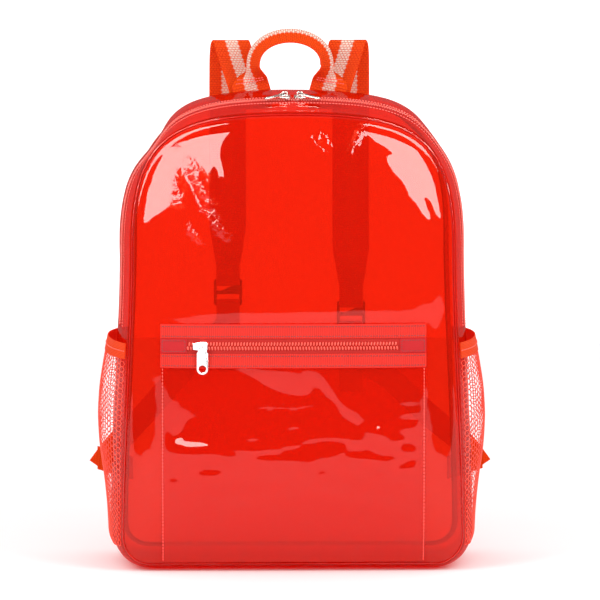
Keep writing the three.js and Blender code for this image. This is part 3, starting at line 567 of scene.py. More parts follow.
# Ribbed cloth, with its ribs across or along place, and painted shade in the valleys between them
def ribbedFinish(name, slot, look):
    finish, tree = startFinish(name, slot)
    place, split = placeNodes(tree)
    waves = []
    for axis, size in ((look["ribAxis"], look["rib"]), (1 - look["ribAxis"], look["pick"])):
        turn = mathNode(tree, "MULTIPLY", split[axis], 2 * math.pi / size)
        waves.append(mathNode(tree, "SINE", turn))
    height = mathNode(tree, "MULTIPLY_ADD", waves[0], 0.5, 0.5)
    height = mathNode(tree, "MULTIPLY_ADD", waves[1], 0.3, height)
    height = mathNode(tree, "MULTIPLY_ADD", noiseNode(tree, place, 1.6, 4.0), 0.4, height)
    patch = mathNode(tree, "MULTIPLY", noiseNode(tree, place, 0.05, 3.0), 0.4)
    # The valleys between ribs take the darker colour: painted shade in the hollows of the cloth, with wear
    # patches over it
    colour = mixColours(tree, patch, mixColours(tree, height, look["gapShade"], look["ground"]), look["worn"])
    endCloth(tree, colour, bumpNode(tree, height, 0.7, look["relief"]), look)
    return finish


# Thread and other plain solids, with a little unevenness
def solidFinish(look):
    finish, tree = startFinish(look["name"], look["slot"])
    where = addNode(tree, "TexCoord")["Object"]
    patch = noiseNode(tree, where, look["patchScale"], 3.0)
    grain = noiseNode(tree, where, look["grainScale"], 2.0)
    rough = {"Value": patch, "To Min": look["smoothest"], "To Max": look["roughest"]}
    skin = addNode(tree, "BsdfPrincipled", {
        "Base Color": mixColours(tree, patch, look["dark"], look["light"]),
        "Metallic": look.get("metallic", 0), "Roughness": addNode(tree, "MapRange", rough)[0],
        "Normal": bumpNode(tree, grain, 0.5, look["grainHeight"]),
    })
    endFinish(tree, skin[0])
    return finish


filmLook = {
    "tint": (0.94, 0.346, 0.224), "slantTint": (0.84, 0.1, 0.05), "body": (1.0, 0.052, 0.006),
    "milkiness": 0.19, "mirror": 0.035, "edgeMirror": 0.28, "roughness": 0.02,
    "waveScale": 20.0, "waveStrength": 0.2, "waveHeight": 0.8,
    "creaseScale": 170.0, "creaseTwist": 0.8, "creaseHeight": 1.0,
}
film = filmFinish("clear red vinyl", filmLook)
seamFilm = filmFinish("doubled vinyl at a seam", {
    **filmLook, "tint": (0.78, 0.09, 0.05), "slantTint": (0.6, 0.03, 0.015), "milkiness": 0.08,
})
# The darker colour of each webbing is painted shade for the gaps of its weave, not a yarn colour
webbingLook = {
    "ground": (1.0, 0.085, 0.001), "gapShade": (0.88, 0.045, 0.0), "worn": (1.0, 0.11, 0.003),
    "roughness": 0.62, "shine": 0.08, "glow": 0.3,
}
stripedWebbing = webbingFinish("striped webbing", "striped_webbing", {
    **webbingLook, "stripe": (1.0, 0.86, 0.74), "stripeGapShade": (1.0, 0.17, 0.06), "stripeHalf": 5.6,
    "floatLength": 2.9, "pickHeight": 2.1, "gapWidth": 0.4, "toothLength": 4.2, "toothDepth": 0.6,
    "relief": 0.8,
})
plainWebbing = webbingFinish("plain webbing", "plain_webbing", {
    **webbingLook, "stripe": (1.0, 0.11, 0.004), "stripeGapShade": (0.6, 0.02, 0.001), "stripeHalf": -5,
    "floatLength": 2.2, "pickHeight": 1.6, "gapWidth": 0.36, "toothLength": 3.2, "toothDepth": 0.3,
    "relief": 0.6,
})
clothLook = {"ribAxis": 1, "roughness": 0.6, "shine": 0.15, "glow": 0.25}
# The darker colour of each ribbed cloth below is painted shade for the valleys between its ribs
bindingCloth = ribbedFinish("ribbed binding cloth", "ribbed_binding", {
    **clothLook, "ground": (1.0, 0.036, 0.02), "gapShade": (0.66, 0.014, 0.008), "worn": (1.0, 0.045, 0.026),
    "rib": 1.7, "pick": 0.7, "relief": 0.4,
})
tapeCloth = ribbedFinish("zip tape cloth", "zip_tape", {
    **clothLook, "ground": (0.75, 0.022, 0.014), "gapShade": (0.42, 0.01, 0.006), "worn": (0.8, 0.03, 0.018),
    "rib": 0.8, "pick": 0.8, "relief": 0.15, "roughness": 0.65,
})
endTabCloth = ribbedFinish("end tab cloth", "end_tab_cloth", {
    **clothLook, "ground": (0.75, 0.013, 0.018), "gapShade": (0.5, 0.006, 0.009), "worn": (0.8, 0.02, 0.028),
    "rib": 0.7, "pick": 0.7, "relief": 0.15,
})
bandCloth = ribbedFinish("elastic band", "elastic_band", {
    **clothLook, "ground": (1.0, 0.075, 0.004), "gapShade": (0.75, 0.03, 0.002), "worn": (1.0, 0.09, 0.008),
    "rib": 1.3, "ribAxis": 0, "pick": 0.9, "relief": 0.3,
})
solids = table(
    "name slot dark light patchScale grainScale grainHeight smoothest roughest metallic",
    ("net yarn", "net", (0.9, 0.04, 0.012), (1.0, 0.095, 0.04), 60, 1800, 0.1, 0.6, 0.55),
    ("zip coil nylon", "zip_coil", (0.85, 0.06, 0.035), (1.0, 0.13, 0.085), 300, 900, 0.05, 0.35, 0.4),
    ("welted film edge", "clear_vinyl", (0.45, 0.006, 0.003), (0.62, 0.012, 0.006), 40, 300, 0.1, 0.1, 0.2),
    ("thread", "ribbed_binding", (0.26, 0.006, 0.006), (0.4, 0.014, 0.01), 200, 2500, 0.1, 0.5, 0.65),
    ("pale thread", "ribbed_binding", (1.0, 0.09, 0.06), (1.0, 0.2, 0.15), 200, 2500, 0.1, 0.4, 0.6),
    ("nickel plate", "nickel", (0.5, 0.46, 0.42), (0.72, 0.69, 0.65), 400, 1500, 0.03, 0.16, 0.3, 1),
    ("bright metal", "bright_metal", (0.88, 0.88, 0.88), (0.97, 0.97, 0.97), 200, 900, 0.02, 0.22, 0.34, 1),
    ("dark plastic", "dark_plastic", (0.03, 0.006, 0.005), (0.05, 0.01, 0.008), 80, 1200, 0.05, 0.35, 0.45),
)
made = [solidFinish(row) for row in solids]
netYarn, coilNylon, weltFilm, thread, paleThread, nickel, brightMetal, darkPlastic = made
print("finishes are made")


# Panels and gusset

# Film whose outer side lies at a distance from a surface
def addFilm(name, off, u, v, lift, node, **more):
    addWall(name, off(u, v, lift), off(u, v, lift - bag["filmThickness"]), film, (node,), **more)


def filmWave(points, look):
    wave = look["broad"] * lumps(points, look["broadSize"], look["seed"], 1)
    return wave + look["fine"] * lumps(points, look["fineSize"], look["seed"] + 5, 2)


seamEdge = {
    "ridge": 1.1, "ridgeAway": 3, "ridgeWidth": 2.2, "groove": 1.0, "grooveWidth": 1.4, "calm": 14,
    "radius": 0.75, "stations": 520, "sides": 8, "allowance": 6.5, "allowanceThickness": 0.5,
}


# Rolled edge beside a seam, by the distance from it
def seamRoll(away):
    ridge = seamEdge["ridge"] * bump(away, seamEdge["ridgeAway"], seamEdge["ridgeWidth"])
    return ridge - seamEdge["groove"] * bump(away, 0, seamEdge["grooveWidth"])


# Dents and ridges of a film, each with its place, half sizes, turn in degrees and height
def dents(x, z, rows):
    total = 0 * x
    for row in rows:
        turn = math.radians(row["turn"])
        along = (x - row["x"]) * math.cos(turn) + (z - row["z"]) * math.sin(turn)
        across = (z - row["z"]) * math.cos(turn) - (x - row["x"]) * math.sin(turn)
        total = total + row["height"] * np.exp(-(along / row["long"]) ** 2 - (across / row["wide"]) ** 2)
    return total


panelLook = {
    "fullness": 16,  # how late the front bends back towards its rim, above the pocket
    "flankBulge": 2.2,  # of the front low down beside the pocket
    "flankStart": (118, 128),  # from the middle
    "flankFade": (176, 62),  # heights
    "calmEdge": 22,
    "calmHalfWidth": 120,  # of the front behind the pocket
    "calmTop": 229,
    "front": {
        "stations": 384, "columns": 96, "seed": 3,
        "broad": 1.3, "broadSize": 85, "fine": 0.06, "fineSize": 20,
    },
    "back": {
        "stations": 256, "columns": 64, "seed": 11,
        "broad": 0.8, "broadSize": 80, "fine": 0.15, "fineSize": 18,
    },
}
frontDents = table(
    "x z long wide turn height",
    (-93, 352, 30, 8, -66, -1.0),
    (-58, 362, 26, 13, -80, 0.8),
    (-66, 352, 14, 3, -84, -0.25),
    (-128, 350, 10, 3, 12, -0.6),
    (-124, 342, 10, 3, 20, -0.5),
    (100, 362, 24, 7, -40, -0.6),
    (118, 330, 18, 4, -70, -0.5),
    (121, 296, 30, 5, -86, -0.5),
)
# Patches of fine crinkles
frontCreases = table(
    "x z long wide turn height",
    (-96, 372, 26, 5, -58, 1),
    (-78, 340, 22, 5, -60, 1),
    (-103, 350, 16, 6, -78, 0.9),
    (-66, 312, 16, 6, -50, 1),
    (-88, 306, 10, 5, -40, 0.8),
    (24, 386, 14, 8, -50, 1),
    (56, 388, 14, 3, 62, 0.8),
    (-4, 398, 8, 3, -20, 0.7),
)


def panelGrid(look, across):
    around = np.linspace(0, 1, look["stations"], endpoint=False)
    shares = 1 - np.linspace(0, 1, look["columns"]) ** 1.25
    # Three narrow rings at the rim take the rolled edge
    shares = np.concatenate([[1, 0.994, 0.988], shares[1:] * 0.982])
    rim = rimAt(around, across)
    x = rim[:, None, 0] * shares
    z = bag["hubHeight"] + (rim[:, None, 1] - bag["hubHeight"]) * shares
    away = (1 - shares) * np.hypot(rim[:, 0], rim[:, 1] - bag["hubHeight"])[:, None]
    return x, z, away


# How much of a spot lies behind the pocket
def behindPocket(x, z):
    beside, above = np.abs(x) - panelLook["calmHalfWidth"], z - panelLook["calmTop"]
    return smooth(8, -8, beside) * smooth(7, -7, above)


x, z, away = panelGrid(panelLook["front"], 0)
inside = smooth(0, panelLook["calmEdge"], away)
lift = filmWave(spots(x, 0, z), panelLook["front"]) * inside + dents(x, z, frontDents)
share = rimShare(frontRim, x, z)
fuller = (1 - bag["softDomeShare"]) * bag["frontDome"] * (share ** 10 - share ** panelLook["fullness"])
lift = lift + fuller * smooth(bag["hubHeight"], 300, z)
flank = smooth(*panelLook["flankStart"], np.abs(x)) * inside * smooth(0, 26, z - bag["seamBottom"])
lift = lift + panelLook["flankBulge"] * flank * smooth(*panelLook["flankFade"], z)
lift = lerp(lift, 0.3 * lift - 0.5, behindPocket(x, z)) + seamRoll(away)
creased = dents(x, z, frontCreases)
addFilm("front_film", offFront, x, z, lift, "front_panel", closed=True, pole=True, creased=creased)

x, z, away = panelGrid(panelLook["back"], 1)
inside = smooth(0, panelLook["calmEdge"], away)
lift = filmWave(spots(x, 0, z), panelLook["back"]) * inside + seamRoll(away)
addFilm("back_film", offBack, x, z, lift, "back_panel", closed=True, pole=True)
print("panels are made")

gusset = {
    "zipSetback": 32,
    "tapeWidth": 13,
    "zipEndHeight": 216,
    "look": {"broad": 0.7, "broadSize": 60, "fine": 0.15, "fineSize": 15, "seed": 21},
}
gusset["zipEnd"] = seamShareAt(gusset["zipEndHeight"])
gusset["tapeFront"] = (gusset["zipSetback"] - gusset["tapeWidth"] / 2) / bag["depth"]
gusset["tapeBack"] = (gusset["zipSetback"] + gusset["tapeWidth"] / 2) / bag["depth"]


def gussetLift(share, across):
    points = gussetAt(share, across)
    toFront = across * bag["depth"]
    toBack = (1 - across) * bag["depth"]
    calm = smooth(0, seamEdge["calm"], toFront) * smooth(0, seamEdge["calm"], toBack)
    toZip = np.abs(toFront - gusset["zipSetback"])
    onTop = smooth(gusset["zipEnd"] - 0.02, gusset["zipEnd"], np.minimum(share, 1 - share))
    calm = calm * lerp(1, smooth(6, 22, toZip), onTop * (share > 0))
    wave = filmWave(points, gusset["look"]) * calm
    flat = smooth(0, 1, -seamOut(share)[..., 1])
    rolls = (seamRoll(toFront) + seamRoll(toBack)) * (1 - 0.7 * flat)
    return lerp(wave, np.minimum(wave * 0.3, 0), flat) + rolls


def addStrip(name, node, fromShare, toShare, fromAcross, toAcross, counts):
    shares = np.linspace(fromShare, toShare, counts[0])[:, None]
    acrosses = np.linspace(fromAcross, toAcross, counts[1])[None, :]
    shares, acrosses = np.broadcast_arrays(shares, acrosses)
    addFilm(name, offGusset, shares, acrosses, gussetLift(shares, acrosses), node)


seamGap = bag["gap"] / seamLength
depthGap = bag["gap"] / bag["depth"]
topEnds = (gusset["zipEnd"] + seamGap, 1 - gusset["zipEnd"] - seamGap)
addStrip("gusset_front_film", "gusset_front_strip", *topEnds, 0.002, gusset["tapeFront"], (300, 24))
addStrip("gusset_rear_film", "gusset_rear_strip", *topEnds, gusset["tapeBack"], 0.998, (300, 64))
addStrip("gusset_lower_film", "lower_gusset", -gusset["zipEnd"], gusset["zipEnd"], 0.002, 0.998, (300, 80))

mainZip = {"tapeThickness": 0.8, "tapeLift": -0.6, "toothLift": 0.75, "pitch": 2.2, "rowAway": 1.6}
shares = np.linspace(*topEnds, 300)[:, None]
acrosses = np.linspace(gusset["tapeFront"] + depthGap, gusset["tapeBack"] - depthGap, 9)[None, :]
middle = offGusset(shares, acrosses, mainZip["tapeLift"])
addRibbon("main_zip_cloth", middle, mainZip["tapeThickness"], tapeCloth, "main_zip_tape")


# Turned seams: a welted edge in each groove and the allowance inside the bag
def addSeamWelt(name, across, y):
    share = np.linspace(0, 1, seamEdge["stations"], endpoint=False)
    rim, out = rimAt(share, across), seamOut(share)
    turn = np.linspace(0, 2 * math.pi, seamEdge["sides"], endpoint=False)
    away = seamEdge["radius"] * np.cos(turn)
    points = spots(
        rim[:, None, 0] + out[:, None, 0] * away,
        y + seamEdge["radius"] * np.sin(turn) + 0 * rim[:, None, 0],
        rim[:, None, 1] + out[:, None, 1] * away,
    )
    faces = gridFaces(*points.shape[:2], closed=True, tube=True)
    addPiece(name, points.reshape(-1, 3), faces, weltFilm)


def addAllowance(name, acrosses):
    around = np.linspace(0, 1, 420, endpoint=False)[:, None]
    around, acrosses = np.broadcast_arrays(around, acrosses[None, :])
    outer = offGusset(around, acrosses, -bag["wall"] - 0.2)
    inner = offGusset(around, acrosses, -bag["wall"] - 0.2 - seamEdge["allowanceThickness"])
    addWall(name, outer, inner, seamFilm, closed=True)


addSeamWelt("seam_welt_front", 0, bag["frontSeam"] - bag["gap"] / 2)
addSeamWelt("seam_welt_back", 1, bag["backSeam"] + bag["gap"] / 2)
reach = seamEdge["allowance"] / bag["depth"]
addAllowance("seam_allowance_front", np.linspace(0.008, reach, 5))
addAllowance("seam_allowance_back", np.linspace(1 - reach, 0.992, 5))
print("gusset is made")


# Rows of stitches on the gusset beside the zip, and on the front
stitch = {"length": 1.9, "width": 0.85, "height": 0.9, "dip": 0.1, "lift": 0.05, "every": 2.8}
share = np.linspace(*topEnds, 500)
rows = []
for place in (gusset["tapeFront"] - 2 / bag["depth"], gusset["tapeBack"] + 2 / bag["depth"]):
    place = place + 0 * share
    line = offGusset(share, place, gussetLift(share, place) + 2 * stitch["lift"])
    rows.append(stitchPlaces(line, surfaceOut(gussetAt, share, place, 0.002, -1), stitch["every"]))
addBars("main_zip_stitches", rows, stitch, paleThread)


# On the pocket's film when swell is 1, and on the flat front when it is 0
def frontStitches(start, end, lift, swell=0, every=2.6):
    x, z = lerp(np.array(start)[:, None], np.array(end)[:, None], np.linspace(0, 1, 90))
    line = offFront(x, z, lift + swell * pocketLift(x, z))
    return stitchPlaces(line, surfaceOut(frontAt, x, z, 0.6, 1), every)


# Two rows of teeth on a skin: at finds a place by its run along the zip and across it
def addTeeth(name, at, length, sizes, node):
    groups = []
    for row, way in enumerate((-1, 1)):
        count = int(length / sizes["pitch"])
        run = (np.arange(count) + 0.5 + 0.5 * row - 0.25) * sizes["pitch"]
        run = run[run < length - 1]
        here, out = at(run, way * sizes["rowAway"])
        outwards, _ = at(run, way * (sizes["rowAway"] + 1))
        ahead, _ = at(run + 0.5, way * sizes["rowAway"])
        lean = unit(outwards - here) * way + 0.16 * way * unit(ahead - here)
        groups.append((here, lean, out))
    bar = {"length": 2 * sizes["rowAway"] - 0.4, "width": sizes["pitch"] * 0.66, "height": 1.7, "dip": 0.45}
    addBars(name, groups, bar, coilNylon, node)


def mainZipAt(run, across):
    share = topEnds[0] + run / seamLength
    place = (gusset["zipSetback"] + across) / bag["depth"]
    here = offGusset(share, place, mainZip["toothLift"])
    return here, unit(offGusset(share, place, mainZip["toothLift"] + 1) - here)


addTeeth("main_zip_teeth", mainZipAt, (topEnds[1] - topEnds[0]) * seamLength, mainZip, "main_zip_coil")

# Front pocket

pocket = {
    "halfWidth": 118,
    "zipHeight": 205,
    "foot": 3,
    "slack": 7,
    "bindingWidth": 12,
    "bindingSpacing": 14.4,
    "bindingThickness": 1.2,
    "tapeHalf": 9.4,
    "tapeThickness": 0.8,
    "endTabLength": 23,
    "endTabWidth": 12.6,
    "endTabThickness": 1,
    "layerOne": 0.6,
    "layerTwo": 1.7,
    "layerThree": 2.1,
    "look": {"broad": 0.9, "broadSize": 75, "fine": 0.05, "fineSize": 18, "seed": 41},
    "ripple": 0.8,
    "rippleSize": 17,
    "sagLeft": (-118, -104),  # where the sag under the binding starts and is full
    "sagRight": (52, 16),
    "sagDrop": 0.06,  # how much lower it hangs at the left, as a share of the height
}
sagRows = table(
    "up sag",
    (0, 0),
    (0.5, 0.1),
    (0.62, 1.8),
    (0.72, 3.1),
    (0.8, 2.8),
    (0.88, 1.0),
    (0.95, -0.7),
    (1, 0),
)
sagCurve = tableCurve(sagRows, "up", "sag", 0.02)
pocketDents = table(
    "x z long wide turn height",
    (44, 143, 42, 6, -48, -0.9),
    (86, 118, 16, 5, -30, 0.4),
    (-100, 95, 20, 8, 60, 0.5),
)


# Share of the height from the bag's foot to the pocket's zip tape
def pocketUp(z):
    return (z - bag["seamBottom"]) / (pocket["zipHeight"] - pocket["tapeHalf"] - bag["seamBottom"])


def pocketLift(x, z):
    side = 1 - (np.abs(x) / pocket["halfWidth"]) ** 4
    up = pocketUp(z)
    return pocket["slack"] * np.maximum(0, side) * np.clip(4 * up * (1 - up), 0, 1)


# Ribbon across the front between two heights, on the pocket's film or on the flat front
def frontMiddle(fromX, toX, fromZ, toZ, lift, swell=0, columns=120):
    x = np.linspace(fromX, toX, columns)[:, None]
    z = np.linspace(fromZ, toZ, 9)[None, :]
    return offFront(x, z, lift + swell * pocketLift(x, z))


width, zipHeight = pocket["halfWidth"], pocket["zipHeight"]
panelTop = zipHeight - pocket["tapeHalf"] - bag["gap"]
x = np.linspace(-width, width, 170)[:, None]
up = np.linspace(0, 1, 130)[None, :]
z = lerp(bag["seamBottom"] + pocket["foot"], panelTop, up + 0 * x)
x = x + 0 * z
calm = smooth(0, 16, width - np.abs(x)) * smooth(0, 18, z - 9) * smooth(0, 14, panelTop - z)
wave = filmWave(spots(x, 0, z), pocket["look"]) + dents(x, z, pocketDents)
ripple = lumps(spots(0.5 * x, 0, z), pocket["rippleSize"], 47, 2)
wave = (wave + pocket["ripple"] * ripple * smooth(170, 120, z)) * calm
hung = sagCurve(np.clip(pocketUp(z) - pocket["sagDrop"] * smooth(10, -60, x), 0, 1))
hung = hung * smooth(*pocket["sagLeft"], x) * smooth(*pocket["sagRight"], x)
lift = pocket["layerOne"] + pocketLift(x, z)
lift = lift + np.maximum(wave - hung, -0.6 * pocketLift(x, z))
addFilm("pocket_film", offFront, x, z, lift + bag["filmThickness"], "pocket_panel")


# Bindings, zip tape and the cloth at the zip's ends
def addLayer(name, ends, heights, lift, thickness, finish, node, **more):
    addRibbon(name, frontMiddle(*ends, *heights, lift + thickness / 2, **more), thickness, finish, node)


thick, binding = pocket["bindingThickness"], pocket["bindingWidth"]
lowerTop = zipHeight - pocket["bindingSpacing"] / 2
upperBottom = zipHeight + pocket["bindingSpacing"] / 2
lower, upper = (lowerTop - binding, lowerTop), (upperBottom, upperBottom + binding)
ends, low, high = (-width, width), pocket["layerThree"], pocket["layerTwo"]
addLayer("pocket_lower_binding", ends, lower, low, thick, bindingCloth, "pocket_binding_lower", swell=1)
addLayer("pocket_upper_binding", ends, upper, high, thick, bindingCloth, "pocket_binding_upper")
heights = (zipHeight - pocket["tapeHalf"], zipHeight + pocket["tapeHalf"])
tapeThick, endThick = pocket["tapeThickness"], pocket["endTabThickness"]
addLayer("pocket_zip_cloth", ends, heights, pocket["layerOne"], tapeThick, tapeCloth, "pocket_zip_tape")
heights = (zipHeight - pocket["endTabWidth"] / 2, zipHeight + pocket["endTabWidth"] / 2)
for name, side in sides.items():
    ends = sorted((side * (width - pocket["endTabLength"]), side * width))
    node = f"pocket_end_tab_{name}"
    addLayer(f"pocket_zip_end_{name}", ends, heights, high, endThick, endTabCloth, node, columns=24)

sewn = {"bindingEdge": 1.7, "edge": 1.5, "sideEvery": 3.1, "endEvery": 2.2, "endLength": 1.5}
rows = []
for (bottom, top), lift, swell in ((lower, low, 1), (upper, high, 0)):
    lifted = lift + thick + stitch["lift"]
    for z in (bottom + sewn["bindingEdge"], top - sewn["bindingEdge"]):
        rows.append(frontStitches((1 - width, z), (width - 1, z), lifted, swell))
addBars("binding_stitches", rows, stitch, thread)

rows = []
lifted = pocket["layerOne"] + bag["filmThickness"] + 2 * stitch["lift"]
for side in sides.values():
    x = side * (width - sewn["edge"])
    rows.append(frontStitches((x, 10), (x, panelTop - 10), lifted, 1, sewn["sideEvery"]))
addBars("pocket_side_stitches", rows, stitch, paleThread)

rows = []
lifted = high + endThick + stitch["lift"]
bottom, top = heights[0] + sewn["edge"], heights[1] - sewn["edge"]
for side in sides.values():
    near, far = side * (width - pocket["endTabLength"] + sewn["edge"]), side * (width - sewn["edge"])
    corners = [(near, bottom), (far, bottom), (far, top), (near, top), (near, bottom)]
    rows += [frontStitches(a, b, lifted, 0, sewn["endEvery"]) for a, b in zip(corners, corners[1:])]
addBars("zip_end_stitches", rows, {**stitch, "length": sewn["endLength"]}, thread)

pocketZip = {"toothLift": 0.75, "pitch": 2.7, "rowAway": 1.9}
coilHalf = width - pocket["endTabLength"] - 0.4


def pocketZipAt(run, across):
    x, lift = run - coilHalf, pocket["layerTwo"] + pocketZip["toothLift"]
    here = offFront(x, zipHeight + across, lift)
    return here, unit(offFront(x, zipHeight + across, lift + 1) - here)


addTeeth("pocket_zip_teeth", pocketZipAt, 2 * coilHalf, pocketZip, "pocket_zip_coil")
print("pocket is made")

# Net pockets on the sides

net = {
    "top": 204,
    "bandWidth": 13.5,
    "bandThickness": 1.3,
    "swell": 13.5,
    "thickness": 0.55,
    "clear": 0.4,
    "edge": 0.03,
    "rowPitch": 4.9,
    "holeShare": 0.86,
}
swellRows = table(
    "up swell",
    (0, 0.03),
    (0.16, 0.16),
    (0.3, 0.42),
    (0.45, 0.8),
    (0.6, 1),
    (0.75, 0.97),
    (0.88, 0.76),
    (1, 0.52),
)
swellCurve = tableCurve(swellRows, "up", "swell", 0.04)
cornerStart = (bag["lowHalfWidth"] - bag["cornerRadius"]) / seamLength
cornerEnd = seamShareAt(bag["seamBottom"] + bag["cornerRadius"])
net["low"] = lerp(cornerStart, cornerEnd, 0.8)
net["high"] = seamShareAt(net["top"] - net["bandWidth"])
net["bandHigh"] = seamShareAt(net["top"])


def netLift(share, across):
    up = (share - net["low"]) / (net["bandHigh"] - net["low"])
    return net["clear"] + net["swell"] * swellCurve(up) * (1 - np.abs(2 * across - 1) ** 3)


# Point on a side's net from its height along the seam line, in millimetres, and its depth
def netAt(side, up, depth, lift):
    share = net["low"] + up / seamLength
    across = 0.5 + depth / bag["depth"]
    point = offGusset(share, across, netLift(share, across) + lift)
    return point * [side, 1, 1]


# Hexagonal meshes: each cell is a ring from the middle lines of its strands to its hole
def netMesh(height, halfDepth):
    pitch = net["rowPitch"]
    slant = 0.866  # sine of 60 degrees
    columns = int(2 * halfDepth / (pitch * slant))
    columnPitch = 2 * halfDepth / (columns + 1 / 3)
    rows = int(height / pitch)
    pitch = height / (rows + 0.5)
    reach = columnPitch / 1.5
    turns = [k * math.pi / 3 for k in range(6)]
    ring = [(reach * math.cos(turn), pitch / 2 * math.sin(turn) / slant) for turn in turns]
    edge = []
    for k in range(6):
        a, b = ring[k], ring[(k + 1) % 6]
        edge += [a, ((a[0] + b[0]) / 2, (a[1] + b[1]) / 2)]
    # Halfway between the cell's outline and a circle
    half = net["holeShare"] / 2
    hole = [(half * (c[0] + 0.9 * reach * math.cos(k * math.pi / 6)),
             half * (c[1] + 0.9 * reach * math.sin(k * math.pi / 6))) for k, c in enumerate(edge)]
    points, faces = [], []
    found, uses = {}, {}

    def spot(u, v, lift):
        u = min(max(u, -halfDepth), halfDepth)
        v = min(max(v, 0), height)
        key = (round(u, 3), round(v, 3), round(lift, 3))
        if key not in found:
            found[key] = len(points)
            points.append((u, v, lift))
        return found[key]

    thick = net["thickness"] / 2
    for i in range(columns):
        for j in range(rows):
            u = -halfDepth + reach + i * columnPitch
            v = (j + 0.5 + 0.5 * (i % 2)) * pitch
            levels = []
            for share, lift in ((1, thick), (0.45, 0.8 * thick), (0, 0), (0.45, -0.8 * thick), (1, -thick)):
                levels.append([spot(u + lerp(h[0], e[0], share), v + lerp(h[1], e[1], share), lift)
                               for e, h in zip(edge, hole)])
            for k in range(12):
                n = (k + 1) % 12
                for a, b in zip(levels, levels[1:]):
                    faces.append([a[k], a[n], b[n], b[k]])
                outline = [levels[0][k], levels[0][n], levels[4][n], levels[4][k]]
                uses.setdefault(tuple(sorted(outline[:2])), []).append(outline)
    for outlines in uses.values():
        if len(outlines) == 1:
            faces.append(outlines[0])
    return np.array(points), [f for f in faces if len(set(f)) == 4]


netHeight = (net["high"] - net["low"]) * seamLength
netHalfDepth = (0.5 - net["edge"]) * bag["depth"]
flat, netFaces = netMesh(netHeight, netHalfDepth)
for name, side in sides.items():
    points = netAt(side, flat[:, 1], flat[:, 0], flat[:, 2] + net["thickness"] / 2)
    addPiece(f"net_{name}", points, netFaces, netYarn, (f"side_net_{name}",), sharp=80)
    up = np.linspace(netHeight + 0.3, (net["bandHigh"] - net["low"]) * seamLength, 9)[None, :]
    depth = np.linspace(-netHalfDepth, netHalfDepth, 90)[:, None]
    middle = netAt(side, up + 0 * depth, depth + 0 * up, net["thickness"] / 2 + 0.1)
    addRibbon(f"net_top_{name}", middle, net["bandThickness"], bandCloth, f"net_band_{name}")
    halfUp, depth = up[:, 4] + 0 * depth[:, 0], depth[:, 0]
    out = unit(netAt(side, halfUp, depth, 2) - netAt(side, halfUp, depth, 0))
    line = middle[:, 4] + out * (net["bandThickness"] / 2 + stitch["lift"])
    addBars(f"net_top_stitches_{name}", [stitchPlaces(line, out, stitch["every"])], stitch, paleThread)
print("net pockets are made")

# Webbing: haul handle and straps

webbing = {"width": 32, "thickness": 1.8, "lowerThickness": 1.4, "neckWidth": 20}
handle = {
    "halfSpan": 33,
    "halfArch": 38.5,
    "rise": 64,
    "fold": math.radians(42),
    "foldStart": 0.18,
    "foldEnd": 0.5,
    "foldShare": 0.26,
    "footDepth": 8,
    "stitchHeights": (426, 429),
    "stitchEvery": 2.4,
}
footHeight = bag["seamTop"] - handle["footDepth"]
footEdge = handle["halfSpan"] - webbing["width"] / 2
onBack = bag["gap"] + webbing["thickness"] / 2
footBack = float(backAt(np.array(footEdge), np.array(footHeight))[1]) + onBack


def handleRoute():
    def point(x, up):
        return x, footBack, bag["seamTop"] + up * handle["rise"]

    span, arch = handle["halfSpan"], handle["halfArch"]
    pull = 0.5 + 0.5 * 4 / 3
    rising = bezier(point(-span, 0), point(-span, 0.125), point(-arch, 0.25), point(-arch, 0.5))
    over = bezier(point(-arch, 0.5), point(-arch, pull), point(arch, pull), point(arch, 0.5))
    falling = rising[::-1] * [-1, 1, 1]
    foot = np.array([[-span, footBack, footHeight]])
    return evenly(np.vstack([foot, rising, over[1:], falling[1:], foot * [-1, 1, 1]]), 150)


def foldedSection(fold, stops):
    inner = math.pi - handle["fold"] * fold
    outer = lerp(math.pi, handle["fold"], fold)
    middles = (stops[1:] + stops[:-1]) / 2
    headings = lerp(inner, outer, np.clip(0.5 + middles / handle["foldShare"], 0, 1))
    runs = np.diff(stops) * webbing["width"]
    steps = np.stack([np.cos(headings) * runs, np.sin(headings) * runs], 1)
    points = np.vstack([[0, 0], np.cumsum(steps, axis=0)])
    return points - points[len(points) // 2]


route = handleRoute()
along = unit(np.gradient(route, axis=0))
inwards = np.stack([along[:, 2], 0 * along[:, 0], -along[:, 0]], 1)
folds = smooth(handle["foldStart"], handle["foldEnd"], (route[:, 2] - bag["seamTop"]) / handle["rise"])
stops = np.linspace(-0.5, 0.5, 25)
middle = []
for centre, inward, fold in zip(route, inwards, folds):
    section = foldedSection(fold, stops)
    middle.append(centre + section[:, :1] * inward + section[:, 1:] * [0, 1, 0])
middle = np.array(middle)
addRibbon("handle_webbing", middle, webbing["thickness"], stripedWebbing, "haul_handle")
out = unit(np.cross(np.gradient(middle, axis=1), np.gradient(middle, axis=0)))
rows = []
for height in handle["stitchHeights"]:
    for half in (slice(0, 75), slice(75, 150)):
        at = half.start + int(np.argmin(np.abs(route[half, 2] - height)))
        for way in (-1, 1):
            outs = out[at, 2:-2] * way
            line = middle[at, 2:-2] + outs * (webbing["thickness"] / 2 + stitch["lift"])
            rows.append(stitchPlaces(line, outs, handle["stitchEvery"]))
addBars("handle_stitches", rows, stitch, paleThread)

